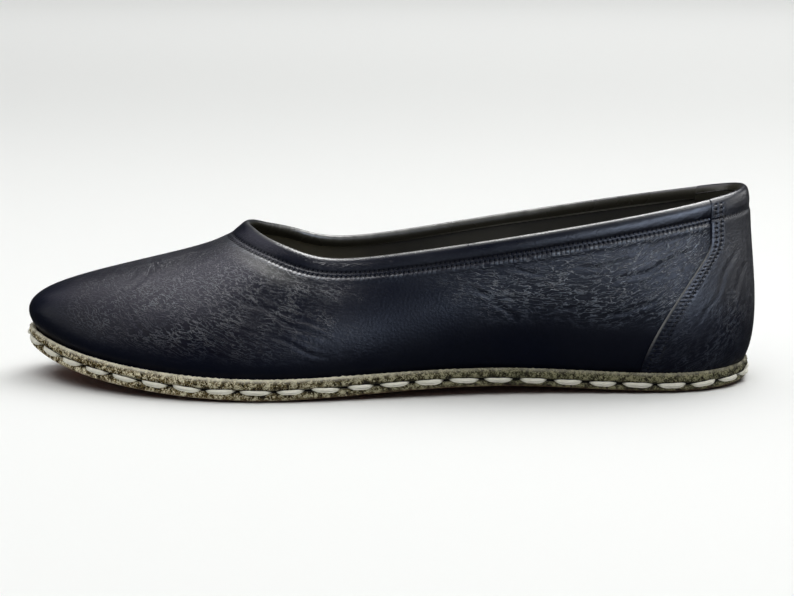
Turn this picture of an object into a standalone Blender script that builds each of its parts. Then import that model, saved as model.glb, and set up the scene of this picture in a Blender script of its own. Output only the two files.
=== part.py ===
"""A slip-on flat shoe for the left foot, standing empty on its sole.

Lengths in the tables are millimetres, measured from the back of the sole edge towards the toe.
MM turns them into metres as each mesh is made. +X points to the toe, +Y to the outer (left) side
and +Z up. The shoe's box is centred over the origin and the sole rests on z = 0.
"""

import bpy
import numpy as np

MM = 0.001

# The box of the whole shoe in the tables' own lengths, whose middle becomes the origin
BOX_BACK, BOX_FRONT = -3.53, 249.0
BOX_INNER, BOX_OUTER = -43.61, 46.47

# Layers of the shoe
OUTSOLE_THICK = 3.2
INSOLE_THICK = 2.0
WALL_THICK = 2.0
COLLAR_THICK = 3.0
COLLAR_WIDTH = 0.12  # share of the wall's height that the rolled collar takes up
COUNTER_THICK = 1.1
GAP = 0.3  # between neighbouring pieces
FACET_GAP = 0.25  # added where two faceted faces curve along each other

# How far inside the sole edge the wall and the insole stand, and how far the rand leans in
WALL_INSET = 4.0
UPRIGHT_REACH = 6.0  # turns the collar's handles square out where the wall stands upright
INSOLE_INSET = WALL_INSET + WALL_THICK + 0.5
RAND_LEAN = 0.4

# Flat and lifted stretches of the sole along its centre line
SPINE_BACK, SPINE_FRONT = 30.0, 206.0
SPINE_BACK_ACROSS, SPINE_FRONT_ACROSS = 0.6, -1.0
HEEL_FLAT_FRONT = 66.0
BALL_FLAT_BACK, BALL_FLAT_FRONT = 126.0, 186.0
ARCH_LIFT = 1.6
TOE_LIFT = 10.6
TOE_CURVE = 1.9
FLAT_SHARE = 0.55  # share of the half width that stays flat before the edge curls up
SPINE_SHARE = 0.3  # innermost ring of the sole's mesh
MARGIN_SHARES = (0.8, 0.93, 1.0)  # rings of the sole's curled margin

# Mesh steps: around the shoe, up the wall's two faces, and over the collar's roll
AROUND = 92
UP_OUTSIDE, UP_INSIDE, ROLL = 11, 8, 4
COUNTER_AROUND, COUNTER_UP = 26, 9

# Sections from the heel to the toe. Each one gives the sole edge on the outer and inner side, its
# lift off the floor and the edge band's height, then the collar above it, and the two handles that
# bend the wall between them: bulge and rise at the foot, reach and drop at the collar.
COLUMNS = ("along", "edge_outer", "edge_inner", "lift_outer", "lift_inner", "band",
           "top_along", "top_outer", "top_inner", "top_height", "bulge", "rise", "reach", "drop")
SECTIONS = (
    (0.0, 0.0, 0.0, 1.4, 1.4, 6.0, 0.9, 0.0, 0.0, 65.2, 10.4, 11.5, -1.0, 18.6),
    (6.2, 18.4, 17.8, 1.1, 1.1, 6.1, 5.3, 11.8, 11.8, 64.3, 9.8, 12.0, 0.0, 18.6),
    (24.0, 29.6, 28.6, 0.6, 0.6, 6.2, 22.5, 21.6, 21.4, 61.4, 9.4, 13.0, 3.6, 18.0),
    (51.0, 31.6, 29.8, 1.4, 1.7, 6.2, 50.0, 27.8, 27.4, 57.0, 8.2, 13.5, 5.4, 17.0),
    (86.0, 33.4, 28.0, 3.0, 4.2, 6.2, 84.0, 29.8, 29.0, 51.6, 7.6, 13.0, 5.4, 15.0),
    (124.0, 40.0, 32.0, 2.2, 3.4, 6.6, 117.0, 28.6, 27.8, 46.7, 7.6, 13.0, 6.2, 13.0),
    (163.0, 46.4, 41.0, 0.6, 0.7, 7.2, 143.0, 26.9, 26.3, 44.6, 7.2, 14.0, 9.0, 10.0),
    (198.0, 41.0, 43.0, 1.8, 1.8, 7.2, 158.0, 23.8, 23.8, 47.9, 7.6, 17.0, 13.0, 10.4),
    (226.0, 26.0, 34.0, 4.9, 4.9, 7.0, 167.5, 16.2, 16.4, 50.9, 9.6, 20.4, 15.0, 13.0),
    (243.0, 9.0, 21.0, 9.0, 9.0, 6.4, 172.8, 8.1, 8.4, 52.8, 18.4, 23.0, 15.6, 15.8),
    (249.0, -6.0, 6.0, 11.4, 11.4, 5.8, 174.4, 0.0, 0.0, 53.3, 23.4, 23.2, 16.0, 16.6),
)

# The heel counter's front edge: it slants back from the foot up to a soft knee, then runs upright.
# Turns are counted from the heel back, heights as shares of the wall (0 foot, 1 collar).
COUNTER_TURN = 0.0837
COUNTER_SLANT, COUNTER_CURVE = 0.125, 0.084
COUNTER_KNEE, COUNTER_SOFTNESS = 0.755, 0.016
COUNTER_TOP = 0.985
COUNTER_CLEAR = 1.5  # from the rand's top up to the wall under the counter's lower edge

# Materials: colour, roughness
NAVY_LEATHER = (0.012, 0.015, 0.026), 0.36
RAW_LEATHER = (0.30, 0.27, 0.17), 0.85
SOLE_LEATHER = (0.16, 0.06, 0.035), 0.6
LINING_LEATHER = (0.02, 0.018, 0.015), 0.7

UP = np.array((0.0, 0.0, 1.0))
STEP = 1e-4  # for slopes, in turns and in shares of the wall's height
WALL_MIDDLE, HALVINGS = 0.6, 24  # the search for a level stays below this share of the wall
SHARP_ANGLE = np.radians(40.0)


def section_loop(outer: str, inner: str, side: float = 1.0) -> np.ndarray:
    """One table column round the whole shoe: heel, outer side, toe, inner side."""
    outer_values = [row[COLUMNS.index(outer)] for row in SECTIONS]
    inner_values = [row[COLUMNS.index(inner)] * side for row in SECTIONS]
    return np.array(outer_values + inner_values[-2:0:-1])


def closed_spline(values: np.ndarray, turn: np.ndarray) -> np.ndarray:
    """Smooth closed curve through evenly spaced values, read at turns from 0 to 1."""
    count = len(values)
    unit = np.eye(count)
    system = 4.0 * unit + np.roll(unit, 1, 0) + np.roll(unit, -1, 0)
    slope = np.linalg.solve(system, 3.0 * (np.roll(values, -1) - np.roll(values, 1)))
    place = (np.asarray(turn) % 1.0) * count
    start = np.floor(place).astype(int) % count
    end = (start + 1) % count
    t = place - np.floor(place)
    ease = t * t * (3.0 - 2.0 * t)
    return ((1.0 - ease) * values[start] + ease * values[end]
            + t * (1.0 - t) ** 2 * slope[start] - t * t * (1.0 - t) * slope[end])


def around(name: str, turn: np.ndarray) -> np.ndarray:
    """A column that is the same on both sides, round the shoe."""
    return closed_spline(section_loop(name, name), turn)


def sole_edge(turn: np.ndarray) -> np.ndarray:
    """Lower edge of the outsole."""
    across = closed_spline(section_loop("edge_outer", "edge_inner", -1.0), turn)
    lift = closed_spline(section_loop("lift_outer", "lift_inner"), turn)
    return np.stack((around("along", turn), across, lift), -1)


def outward(turn: np.ndarray) -> np.ndarray:
    """Level direction that points square out of the sole edge."""
    run = sole_edge(turn + STEP) - sole_edge(turn - STEP)
    square = np.stack((-run[..., 1], run[..., 0], 0.0 * run[..., 0]), -1)
    return square / np.linalg.norm(square, axis=-1, keepdims=True)


def spine(turn: np.ndarray) -> np.ndarray:
    """Point of the sole's centre line, a straight one, opposite each point of the edge."""
    along = np.clip(sole_edge(turn)[..., 0], SPINE_BACK, SPINE_FRONT)
    across = np.interp(along, (SPINE_BACK, SPINE_FRONT), (SPINE_BACK_ACROSS, SPINE_FRONT_ACROSS))
    return np.stack((along, across, 0.0 * along), -1)


def centre_lift(along: np.ndarray) -> np.ndarray:
    """Height of the tread on the centre line: flat heel and ball, low arch, toe spring."""
    arch = np.clip((along - HEEL_FLAT_FRONT) / (BALL_FLAT_BACK - HEEL_FLAT_FRONT), 0.0, 1.0)
    length = BOX_FRONT - BALL_FLAT_FRONT
    toe = np.clip((along - BALL_FLAT_FRONT) / length, 0.0, 1.0)
    return ARCH_LIFT * np.sin(np.pi * arch) ** 2 + TOE_LIFT * toe ** TOE_CURVE


def tread(turn: np.ndarray, point: np.ndarray, share: np.ndarray) -> np.ndarray:
    """A level point of the sole dropped on to the tread; share is 0 on the spine, 1 on the edge."""
    curl = np.clip((share - FLAT_SHARE) / (1.0 - FLAT_SHARE), 0.0, 1.0)
    middle = centre_lift(point[..., 0])
    height = middle + (sole_edge(turn)[..., 2] - middle) * curl * curl * (3.0 - 2.0 * curl)
    return np.stack((point[..., 0], point[..., 1], height), -1)


def sole_share(turn: np.ndarray, share: float) -> np.ndarray:
    """Ring on the tread at a share of the way from the spine to the edge."""
    centre = spine(turn)
    return tread(turn, centre + share * (sole_edge(turn) - centre), np.full(len(turn), share))


def sole_inset(turn: np.ndarray, inset: float) -> np.ndarray:
    """Ring on the tread a fixed distance inside the edge."""
    edge = sole_edge(turn)
    reach = (edge - spine(turn))[..., :2]
    share = 1.0 - inset / np.linalg.norm(reach, axis=-1)
    return tread(turn, edge - inset * outward(turn), share)


def collar(turn: np.ndarray) -> np.ndarray:
    """Top line of the opening."""
    across = closed_spline(section_loop("top_outer", "top_inner", -1.0), turn)
    return np.stack((around("top_along", turn), across, around("top_height", turn)), -1)


def wall(turn: np.ndarray, height: np.ndarray) -> np.ndarray:
    """Outer face of the upper: a cubic curve from the foot line (0) to the collar (1)."""
    foot = sole_inset(turn, WALL_INSET) + (OUTSOLE_THICK + GAP) * UP
    top = collar(turn)
    away = (foot - top) * (1.0, 1.0, 0.0) + UPRIGHT_REACH * outward(turn)
    away = away / np.linalg.norm(away, axis=-1, keepdims=True)

    def column(name: str) -> np.ndarray:
        return around(name, turn)[..., None]

    low = foot + outward(turn) * column("bulge") + UP * column("rise")
    high = top + away * column("reach") - UP * column("drop")
    h = np.asarray(height)[..., None]
    return ((1 - h) ** 3 * foot + 3 * (1 - h) ** 2 * h * low
            + 3 * (1 - h) * h ** 2 * high + h ** 3 * top)


def wall_normal(turn: np.ndarray, height: np.ndarray) -> np.ndarray:
    """Direction square out of the upper's outer face."""
    level = wall(turn + STEP, height) - wall(turn - STEP, height)
    rising = wall(turn, height + STEP) - wall(turn, height - STEP)
    square = np.cross(rising, level)
    return square / np.linalg.norm(square, axis=-1, keepdims=True)


def wall_height_at(turn: np.ndarray, level: np.ndarray) -> np.ndarray:
    """Height share at which the wall passes a level, found by halving."""
    low, high = np.zeros(len(turn)), np.full(len(turn), WALL_MIDDLE)
    for _ in range(HALVINGS):
        middle = 0.5 * (low + high)
        below = wall(turn, middle)[..., 2] < level
        low, high = np.where(below, middle, low), np.where(below, high, middle)
    return low


def counter_front(height: np.ndarray) -> np.ndarray:
    """Turns from the heel back to the counter's front edge."""
    below = COUNTER_SOFTNESS * np.log1p(np.exp((COUNTER_KNEE - height) / COUNTER_SOFTNESS))
    return COUNTER_TURN + COUNTER_SLANT * below - COUNTER_CURVE * below ** 2


def ring_faces(rings: int, steps: int, closed: bool) -> list:
    """Quads between rings of equal length that each close on themselves."""
    last = rings if closed else rings - 1
    faces = []
    for a in range(last):
        b = (a + 1) % rings
        for i in range(steps):
            j = (i + 1) % steps
            faces.append((a * steps + i, b * steps + i, b * steps + j, a * steps + j))
    return faces


def zip_faces(start: int, steps: int, flip: bool) -> list:
    """Fills a ring by joining its outer side to its inner side across the spine."""
    half = steps // 2
    faces = [(0, 1, steps - 1), (half - 1, half, half + 1)]
    faces += [(i, i + 1, steps - i - 1, steps - i) for i in range(1, half - 1)]
    return [tuple(start + i for i in (face[::-1] if flip else face)) for face in faces]


def add_piece(name: str, points: np.ndarray, faces: list, finish: tuple, root: bpy.types.Object) -> None:
    """Makes one named mesh object with its own material."""
    shift = (0.5 * (BOX_BACK + BOX_FRONT), 0.5 * (BOX_INNER + BOX_OUTER), 0.0)
    mesh = bpy.data.meshes.new(name)
    mesh.from_pydata(((points - shift) * MM).tolist(), [], faces)
    mesh.validate()
    mesh.shade_smooth()
    mesh.set_sharp_from_angle(angle=SHARP_ANGLE)
    colour, roughness = finish
    material = bpy.data.materials.new(name)
    material.use_nodes = True
    shader = material.node_tree.nodes["Principled BSDF"]
    shader.inputs["Base Color"].default_value = (*colour, 1.0)
    shader.inputs["Roughness"].default_value = roughness
    mesh.materials.append(material)
    piece = bpy.data.objects.new(name, mesh)
    piece.parent = root
    bpy.context.scene.collection.objects.link(piece)


def layer(bottom: list, thick: float, turns: np.ndarray) -> tuple:
    """Closed sheet from rings that run from the spine out to the edge, thickened upwards."""
    rings = bottom + [ring + thick * UP for ring in reversed(bottom)]
    faces = ring_faces(len(rings), len(turns), closed=False)
    faces += zip_faces(0, len(turns), flip=False)
    faces += zip_faces((len(rings) - 1) * len(turns), len(turns), flip=True)
    return np.concatenate(rings), faces


def build_outsole(turns: np.ndarray, root: bpy.types.Object) -> None:
    """Thin leather sole with flat heel and ball, low arch and toe spring."""
    rings = [sole_share(turns, share) for share in (SPINE_SHARE, FLAT_SHARE, *MARGIN_SHARES)]
    add_piece("outsole", *layer(rings, OUTSOLE_THICK, turns), SOLE_LEATHER, root)


def build_insole(turns: np.ndarray, root: bpy.types.Object) -> None:
    """Inner sole lying on the outsole inside the wall."""
    rings = [sole_share(turns, SPINE_SHARE), sole_share(turns, FLAT_SHARE), sole_inset(turns, INSOLE_INSET)]
    rings = [ring + (OUTSOLE_THICK + GAP + FACET_GAP) * UP for ring in rings]
    add_piece("insole", *layer(rings, INSOLE_THICK, turns), LINING_LEATHER, root)


def build_rand(turns: np.ndarray, root: bpy.types.Object) -> None:
    """Raw-edged strip that lies on the outsole's margin all round the wall."""
    edge, out = sole_edge(turns), outward(turns)
    seat = OUTSOLE_THICK + GAP + FACET_GAP
    low = edge[..., 2] + seat
    high = edge[..., 2] + around("band", turns)
    inner = []
    for share in (0.0, 0.5, 1.0):
        level = low + share * (high - low)
        face = wall(turns, wall_height_at(turns, level)) + GAP * out
        face[..., 2] = level
        inner.append(face)
    inner[0][..., 2] = sole_inset(turns, WALL_INSET)[..., 2] + seat
    outer_low = edge + seat * UP
    outer_high = edge - RAND_LEAN * out
    outer_high[..., 2] = high
    points = np.concatenate((outer_low, outer_high, inner[2], inner[1], inner[0]))
    add_piece("rand", points, ring_faces(5, len(turns), closed=True), RAW_LEATHER, root)


def build_upper(turns: np.ndarray, root: bpy.types.Object) -> None:
    """Hollow upper: one wall, open at the collar and underneath, thicker where the collar rolls."""
    def offset(height: float, depth: float) -> np.ndarray:
        level = np.full(len(turns), height)
        return wall(turns, level) - depth * wall_normal(turns, level)

    def thickness(height: float) -> float:
        roll = np.clip((height - 1.0 + COLLAR_WIDTH) / COLLAR_WIDTH, 0.0, 1.0)
        return WALL_THICK + (COLLAR_THICK - WALL_THICK) * np.sin(0.5 * np.pi * roll)

    rings = [offset(h, 0.0) for h in np.linspace(0.0, 1.0, UP_OUTSIDE + 1)]
    radius = 0.5 * COLLAR_THICK
    top = np.ones(len(turns))
    rise = wall(turns, top) - wall(turns, top - STEP)
    rise = rise / np.linalg.norm(rise, axis=-1, keepdims=True)
    for angle in np.linspace(0.0, np.pi, ROLL + 1)[1:-1]:
        rings.append(offset(1.0, radius * (1.0 - np.cos(angle))) + radius * np.sin(angle) * rise)
    rings += [offset(h, thickness(h)) for h in np.linspace(1.0, 0.0, UP_INSIDE + 1)]
    rings[-1][..., 2] = rings[0][..., 2]
    add_piece("upper", np.concatenate(rings), ring_faces(len(rings), len(turns), closed=True),
              NAVY_LEATHER, root)


def build_counter(root: bpy.types.Object) -> None:
    """Panel laid over the back of the wall, cut along a slanting front edge."""
    share = np.linspace(-1.0, 1.0, COUNTER_AROUND + 1)
    faces_of = []
    for depth in (GAP + FACET_GAP, GAP + FACET_GAP + COUNTER_THICK):
        rows = []
        for step in np.linspace(0.0, 1.0, COUNTER_UP + 1):
            turn = share * counter_front(step * COUNTER_TOP)
            rand_top = sole_edge(turn)[..., 2] + around("band", turn)
            foot = wall_height_at(turn, rand_top + COUNTER_CLEAR)
            height = foot + step * (COUNTER_TOP - foot)
            rows.append(wall(turn, height) + depth * wall_normal(turn, height))
        faces_of.append(np.stack(rows))
    inner, outer = faces_of
    sheets = np.concatenate((outer.reshape(-1, 3), inner.reshape(-1, 3)))
    wide, size = COUNTER_AROUND + 1, outer.shape[0] * outer.shape[1]
    cells = [(r * wide + c, r * wide + c + 1, (r + 1) * wide + c + 1, (r + 1) * wide + c)
             for r in range(COUNTER_UP) for c in range(COUNTER_AROUND)]
    faces = [cell[::-1] for cell in cells] + [tuple(i + size for i in cell) for cell in cells]
    border = [*range(wide), *(r * wide + wide - 1 for r in range(1, COUNTER_UP + 1)),
              *(COUNTER_UP * wide + c for c in range(wide - 2, -1, -1)),
              *(r * wide for r in range(COUNTER_UP - 1, 0, -1))]
    faces += [(a, b, b + size, a + size) for a, b in zip(border, border[1:] + border[:1])]
    add_piece("heel_counter", sheets, faces, NAVY_LEATHER, root)


def main() -> None:
    """Clears the scene and builds the five pieces."""
    for old in list(bpy.data.objects):
        bpy.data.objects.remove(old)
    root = bpy.data.objects.new("shoe", None)
    bpy.context.scene.collection.objects.link(root)
    turns = np.arange(AROUND) / AROUND
    build_outsole(turns, root)
    build_insole(turns, root)
    build_rand(turns, root)
    build_upper(turns, root)
    build_counter(root)


main()
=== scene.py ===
"""Looks of a hand-sewn leather slip-on flat, left foot, standing empty on a pale floor.

Shapes are worked out in millimetres, measured from the back of the sole edge towards the toe, the
way the last is drawn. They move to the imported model's frame, in metres, as each mesh is made.
"""

from __future__ import annotations

import logging
import math
from collections.abc import Mapping, Sequence
from dataclasses import dataclass, field
from enum import Enum

import bpy
import numpy as np
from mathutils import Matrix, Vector

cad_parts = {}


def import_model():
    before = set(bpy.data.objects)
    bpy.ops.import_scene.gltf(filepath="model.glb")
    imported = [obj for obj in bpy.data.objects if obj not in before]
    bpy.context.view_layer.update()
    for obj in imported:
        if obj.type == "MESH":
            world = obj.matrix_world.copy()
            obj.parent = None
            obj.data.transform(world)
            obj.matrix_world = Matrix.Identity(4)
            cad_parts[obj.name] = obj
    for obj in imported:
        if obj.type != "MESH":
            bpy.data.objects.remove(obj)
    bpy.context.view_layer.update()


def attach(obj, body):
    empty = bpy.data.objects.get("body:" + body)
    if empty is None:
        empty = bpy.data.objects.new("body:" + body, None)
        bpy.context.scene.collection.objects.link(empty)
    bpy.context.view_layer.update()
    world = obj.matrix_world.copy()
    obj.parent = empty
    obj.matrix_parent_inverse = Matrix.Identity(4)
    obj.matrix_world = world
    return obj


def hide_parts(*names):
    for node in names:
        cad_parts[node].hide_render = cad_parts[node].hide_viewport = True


LOG = logging.getLogger("flat_shoe")
MM = 0.001
UP = np.array((0.0, 0.0, 1.0))
STEP = 1e-4  # for slopes, in turns and in shares of the wall's height
BODY = "root"
SEED = 7
RIPPLE_SINES = 28  # enough for a ripple that shows no rhythm

Array = np.ndarray
Material = bpy.types.Material
Socket = bpy.types.NodeSocket
Tree = bpy.types.NodeTree


class Slot(Enum):
    """Material slots of the record."""

    NAVY = "navy_leather"
    RAW = "raw_leather"
    SOLE = "sole_leather"
    LINING = "lining_leather"
    THREAD = "waxed_thread"


# Plain helpers


def smooth(low: float, high: float, value: Array) -> Array:
    """Eases from 0 at low to 1 at high: three t squared less two t cubed.

    Args:
        low: Value that gives 0.
        high: Value that gives 1; it may be below low.
        value: Values to ease.

    Returns:
        Numbers from 0 to 1, shaped as value.
    """
    t = np.clip((np.asarray(value) - low) / (high - low), 0.0, 1.0)
    return t * t * (3.0 - 2.0 * t)


def bell(value: Array, centre: float, width: float) -> Array:
    """Bell curve of height 1: e to the minus square of the distance in widths."""
    return np.exp(-(((np.asarray(value) - centre) / width) ** 2))


def unit(vectors: Array) -> Array:
    """Vectors scaled to length 1."""
    return vectors / np.linalg.norm(vectors, axis=-1, keepdims=True)


def path_run(path: Array) -> Array:
    """Length along a path up to each of its points."""
    return np.concatenate(((0.0,), np.cumsum(np.linalg.norm(np.diff(path, axis=0), axis=1))))


def along_path(place: Array, run: Array, values: Array) -> Array:
    """Vectors at places along a path, read straight between the points where it is known."""
    return np.stack([np.interp(place, run, values[:, axis]) for axis in range(3)], -1)


def ripple(turn: Array, waves: tuple[int, int], seed: int) -> Array:
    """Closed random wave: a sum of sines with whole numbers of waves per turn and drawn phases.

    Args:
        turn: Turns round the shoe.
        waves: Fewest and most waves per turn.
        seed: Seed of the draw.

    Returns:
        Values of about unit spread, the same at turn 0 and turn 1.
    """
    draw = np.random.default_rng(SEED * 1000 + seed)
    counts = draw.integers(waves[0], waves[1], RIPPLE_SINES)
    phases = draw.uniform(0.0, 2.0 * math.pi, RIPPLE_SINES)
    angle = 2.0 * math.pi * np.asarray(turn)[..., None] * counts + phases
    return np.sin(angle).sum(-1) * math.sqrt(2.0 / RIPPLE_SINES)


def ring_faces(rings: int, steps: int, closed: bool) -> Array:
    """Quads between rings that each close on themselves.

    Args:
        rings: Number of rings.
        steps: Points on each ring.
        closed: Whether the last ring joins the first.

    Returns:
        Rows of four point numbers, facing out where rings climb the outside.
    """
    a = np.arange(rings if closed else rings - 1)[:, None]
    i = np.arange(steps)[None, :]
    b, j = (a + 1) % rings, (i + 1) % steps
    return np.stack((a * steps + i, b * steps + i, b * steps + j, a * steps + j), -1).reshape(-1, 4)


def zip_faces(start: int, steps: int, flip: bool) -> list[tuple[int, ...]]:
    """Fills a ring by joining its outer side to its inner side across the spine.

    Args:
        start: Number of the ring's first point.
        steps: Points on the ring, an even number.
        flip: Whether the faces look up and not down.

    Returns:
        Quads, with a triangle at each end.
    """
    half = steps // 2
    faces = [(0, 1, steps - 1), (half - 1, half, half + 1)]
    faces += [(i, i + 1, steps - i - 1, steps - i) for i in range(1, half - 1)]
    return [tuple(start + i for i in (face[::-1] if flip else face)) for face in faces]


def slab_faces(rows: int, columns: int) -> Array:
    """Faces of a closed slab: an outer grid, an inner grid after it, and the strip between them.

    Args:
        rows: Rows of each grid.
        columns: Columns of each grid.

    Returns:
        Rows of four point numbers; the outer grid faces out where its columns follow the turn.
    """
    r, c = np.arange(rows - 1)[:, None], np.arange(columns - 1)[None, :]
    corner = (r * columns + c).reshape(-1)
    cells = np.stack((corner, corner + 1, corner + columns + 1, corner + columns), -1)
    size = rows * columns
    number = np.arange(size).reshape(rows, columns)
    border = np.concatenate((number[0, :-1], number[:-1, -1], number[-1, :0:-1], number[:0:-1, 0]))
    after = np.roll(border, -1)
    strip = np.stack((border, after, after + size, border + size), -1)
    return np.concatenate((cells[:, ::-1], cells + size, strip))


def linear(code: str) -> tuple[float, float, float, float]:
    """Linear colour, opaque, of an sRGB hex code such as 1a2b3c."""
    parts = (int(code[i:i + 2], 16) / 255.0 for i in (0, 2, 4))
    return (*(p / 12.92 if p <= 0.04045 else ((p + 0.055) / 1.055) ** 2.4 for p in parts), 1.0)


def add_node(tree: Tree, kind: str, settings: Mapping[str, object],
             inputs: Mapping[str | int, object]) -> bpy.types.Node:
    """Adds a shader node.

    Args:
        tree: Node tree to add to.
        kind: Type name without its ShaderNode prefix.
        settings: Properties to set.
        inputs: Sockets by name or number, each a value or the socket that feeds it.

    Returns:
        The new node.
    """
    made = tree.nodes.new("ShaderNode" + kind)
    for name, value in settings.items():
        setattr(made, name, value)
    for key, value in inputs.items():
        if isinstance(value, Socket):
            tree.links.new(value, made.inputs[key])
        else:
            made.inputs[key].default_value = value
    return made


def new_material(name: str) -> tuple[Material, Tree, bpy.types.Node]:
    """Starts a node material.

    Args:
        name: Name of the real material.

    Returns:
        The material, its node tree and its shader.
    """
    made = bpy.data.materials.new(name)
    made.use_nodes = True
    return made, made.node_tree, made.node_tree.nodes["Principled BSDF"]


# The last


@dataclass(frozen=True)
class Section:
    """One station of the last: sole edge, collar above it, and the handles that bend the wall."""

    along: float
    edge_outer: float
    edge_inner: float
    lift_outer: float
    lift_inner: float
    band: float
    top_along: float
    top_outer: float
    top_inner: float
    top_height: float
    bulge: float
    rise: float
    reach: float
    drop: float


@dataclass(frozen=True)
class Last:
    """The form that the whole shoe follows, in millimetres from the back of the sole edge."""

    origin: tuple[float, float, float] = (122.735, 1.43, 0.0)
    wall_inset: float = 4.0
    outsole_thick: float = 3.2
    gap: float = 0.3
    girth: float = 590.0  # about the length round the sole, for patterns that follow the turn
    upright_reach: float = 6.0
    spine_back: float = 30.0
    spine_front: float = 206.0
    spine_back_across: float = 0.6
    spine_front_across: float = -1.0
    heel_flat_front: float = 66.0
    ball_flat_back: float = 126.0
    ball_flat_front: float = 186.0
    toe_tip: float = 249.0
    arch_lift: float = 1.6
    toe_lift: float = 10.6
    toe_curve: float = 1.9
    flat_share: float = 0.55
    counter_turn: float = 0.0837
    counter_slant: float = 0.125
    counter_curve: float = 0.084
    counter_knee: float = 0.755
    counter_softness: float = 0.016
    sections: tuple[Section, ...] = (
        Section(0.0, 0.0, 0.0, 1.4, 1.4, 6.0, 0.9, 0.0, 0.0, 65.2, 10.4, 11.5, -1.0, 18.6),
        Section(6.2, 18.4, 17.8, 1.1, 1.1, 6.1, 5.3, 11.8, 11.8, 64.3, 9.8, 12.0, 0.0, 18.6),
        Section(24.0, 29.6, 28.6, 0.6, 0.6, 6.2, 22.5, 21.6, 21.4, 61.4, 9.4, 13.0, 3.6, 18.0),
        Section(51.0, 31.6, 29.8, 1.4, 1.7, 6.2, 50.0, 27.8, 27.4, 57.0, 8.2, 13.5, 5.4, 17.0),
        Section(86.0, 33.4, 28.0, 3.0, 4.2, 6.2, 84.0, 29.8, 29.0, 51.6, 7.6, 13.0, 5.4, 15.0),
        Section(124.0, 40.0, 32.0, 2.2, 3.4, 6.6, 117.0, 28.6, 27.8, 46.7, 7.6, 13.0, 6.2, 13.0),
        Section(163.0, 46.4, 41.0, 0.6, 0.7, 7.2, 143.0, 26.9, 26.3, 44.6, 7.2, 14.0, 9.0, 10.0),
        Section(198.0, 41.0, 43.0, 1.8, 1.8, 7.2, 158.0, 23.8, 23.8, 47.9, 7.6, 17.0, 13.0, 10.4),
        Section(226.0, 26.0, 34.0, 4.9, 4.9, 7.0, 167.5, 16.2, 16.4, 50.9, 9.6, 20.4, 15.0, 13.0),
        Section(243.0, 9.0, 21.0, 9.0, 9.0, 6.4, 172.8, 8.1, 8.4, 52.8, 18.4, 23.0, 15.6, 15.8),
        Section(249.0, -6.0, 6.0, 11.4, 11.4, 5.8, 174.4, 0.0, 0.0, 53.3, 23.4, 23.2, 16.0, 16.6),
    )

    def around(self, outer: str, turn: Array, inner: str = "", side: float = 1.0) -> Array:
        """One section column as a smooth closed curve: heel, outer side, toe, inner side.

        The curve is the cubic spline through evenly spaced values whose slopes come from one
        closed system, so its bend has no jumps.

        Args:
            outer: Column on the outer side.
            turn: Turns from the heel back, 0 to 1, the toe at a half.
            inner: Column on the inner side, the same one if empty.
            side: Sign of the inner side's values.

        Returns:
            The column's values, shaped as turn.
        """
        out = [getattr(section, outer) for section in self.sections]
        back = [getattr(section, inner or outer) * side for section in self.sections]
        values = np.array(out + back[-2:0:-1])
        count = len(values)
        eye = np.eye(count)
        system = 4.0 * eye + np.roll(eye, 1, 0) + np.roll(eye, -1, 0)
        slope = np.linalg.solve(system, 3.0 * (np.roll(values, -1) - np.roll(values, 1)))
        place = (np.asarray(turn) % 1.0) * count
        start = np.floor(place).astype(int) % count
        end = (start + 1) % count
        t = place - np.floor(place)
        ease = t * t * (3.0 - 2.0 * t)
        return ((1.0 - ease) * values[start] + ease * values[end]
                + t * (1.0 - t) ** 2 * slope[start] - t * t * (1.0 - t) * slope[end])

    def sole_edge(self, turn: Array) -> Array:
        """Lower edge of the outsole.

        Args:
            turn: Turns from the heel back.

        Returns:
            Points of the edge.
        """
        across = self.around("edge_outer", turn, "edge_inner", -1.0)
        lift = self.around("lift_outer", turn, "lift_inner")
        return np.stack((self.around("along", turn), across, lift), -1)

    def outward(self, turn: Array) -> Array:
        """Level direction square out of the sole edge."""
        run = self.sole_edge(turn + STEP) - self.sole_edge(turn - STEP)
        return unit(np.stack((-run[..., 1], run[..., 0], 0.0 * run[..., 0]), -1))

    def spine(self, turn: Array) -> Array:
        """Point of the sole's straight centre line opposite each point of the edge.

        Args:
            turn: Turns from the heel back.

        Returns:
            Points of the centre line, at floor height.
        """
        ends = (self.spine_back, self.spine_front)
        along = np.clip(self.sole_edge(turn)[..., 0], *ends)
        across = np.interp(along, ends, (self.spine_back_across, self.spine_front_across))
        return np.stack((along, across, 0.0 * along), -1)

    def tread(self, turn: Array, point: Array, share: Array | float) -> Array:
        """Drops a level point of the sole on to the tread.

        Height is flat at heel and ball, a squared sine at the arch and a power of the distance at
        the toe, and eases to the edge's own lift over the outer part of the half width.

        Args:
            turn: Turns of the points.
            point: Points whose height is to be found.
            share: 0 on the spine, 1 on the edge.

        Returns:
            The points at the height of the tread.
        """
        along = point[..., 0]
        arch = np.clip((along - self.heel_flat_front) / (self.ball_flat_back - self.heel_flat_front), 0, 1)
        toe = np.clip((along - self.ball_flat_front) / (self.toe_tip - self.ball_flat_front), 0, 1)
        middle = self.arch_lift * np.sin(math.pi * arch) ** 2 + self.toe_lift * toe ** self.toe_curve
        curl = smooth(self.flat_share, 1.0, share)
        height = middle + (self.sole_edge(turn)[..., 2] - middle) * curl
        return np.stack((along, point[..., 1], height), -1)

    def sole_share(self, turn: Array, share: float) -> Array:
        """Ring on the tread at a share of the way from the spine to the edge."""
        centre = self.spine(turn)
        return self.tread(turn, centre + share * (self.sole_edge(turn) - centre), share)

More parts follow.
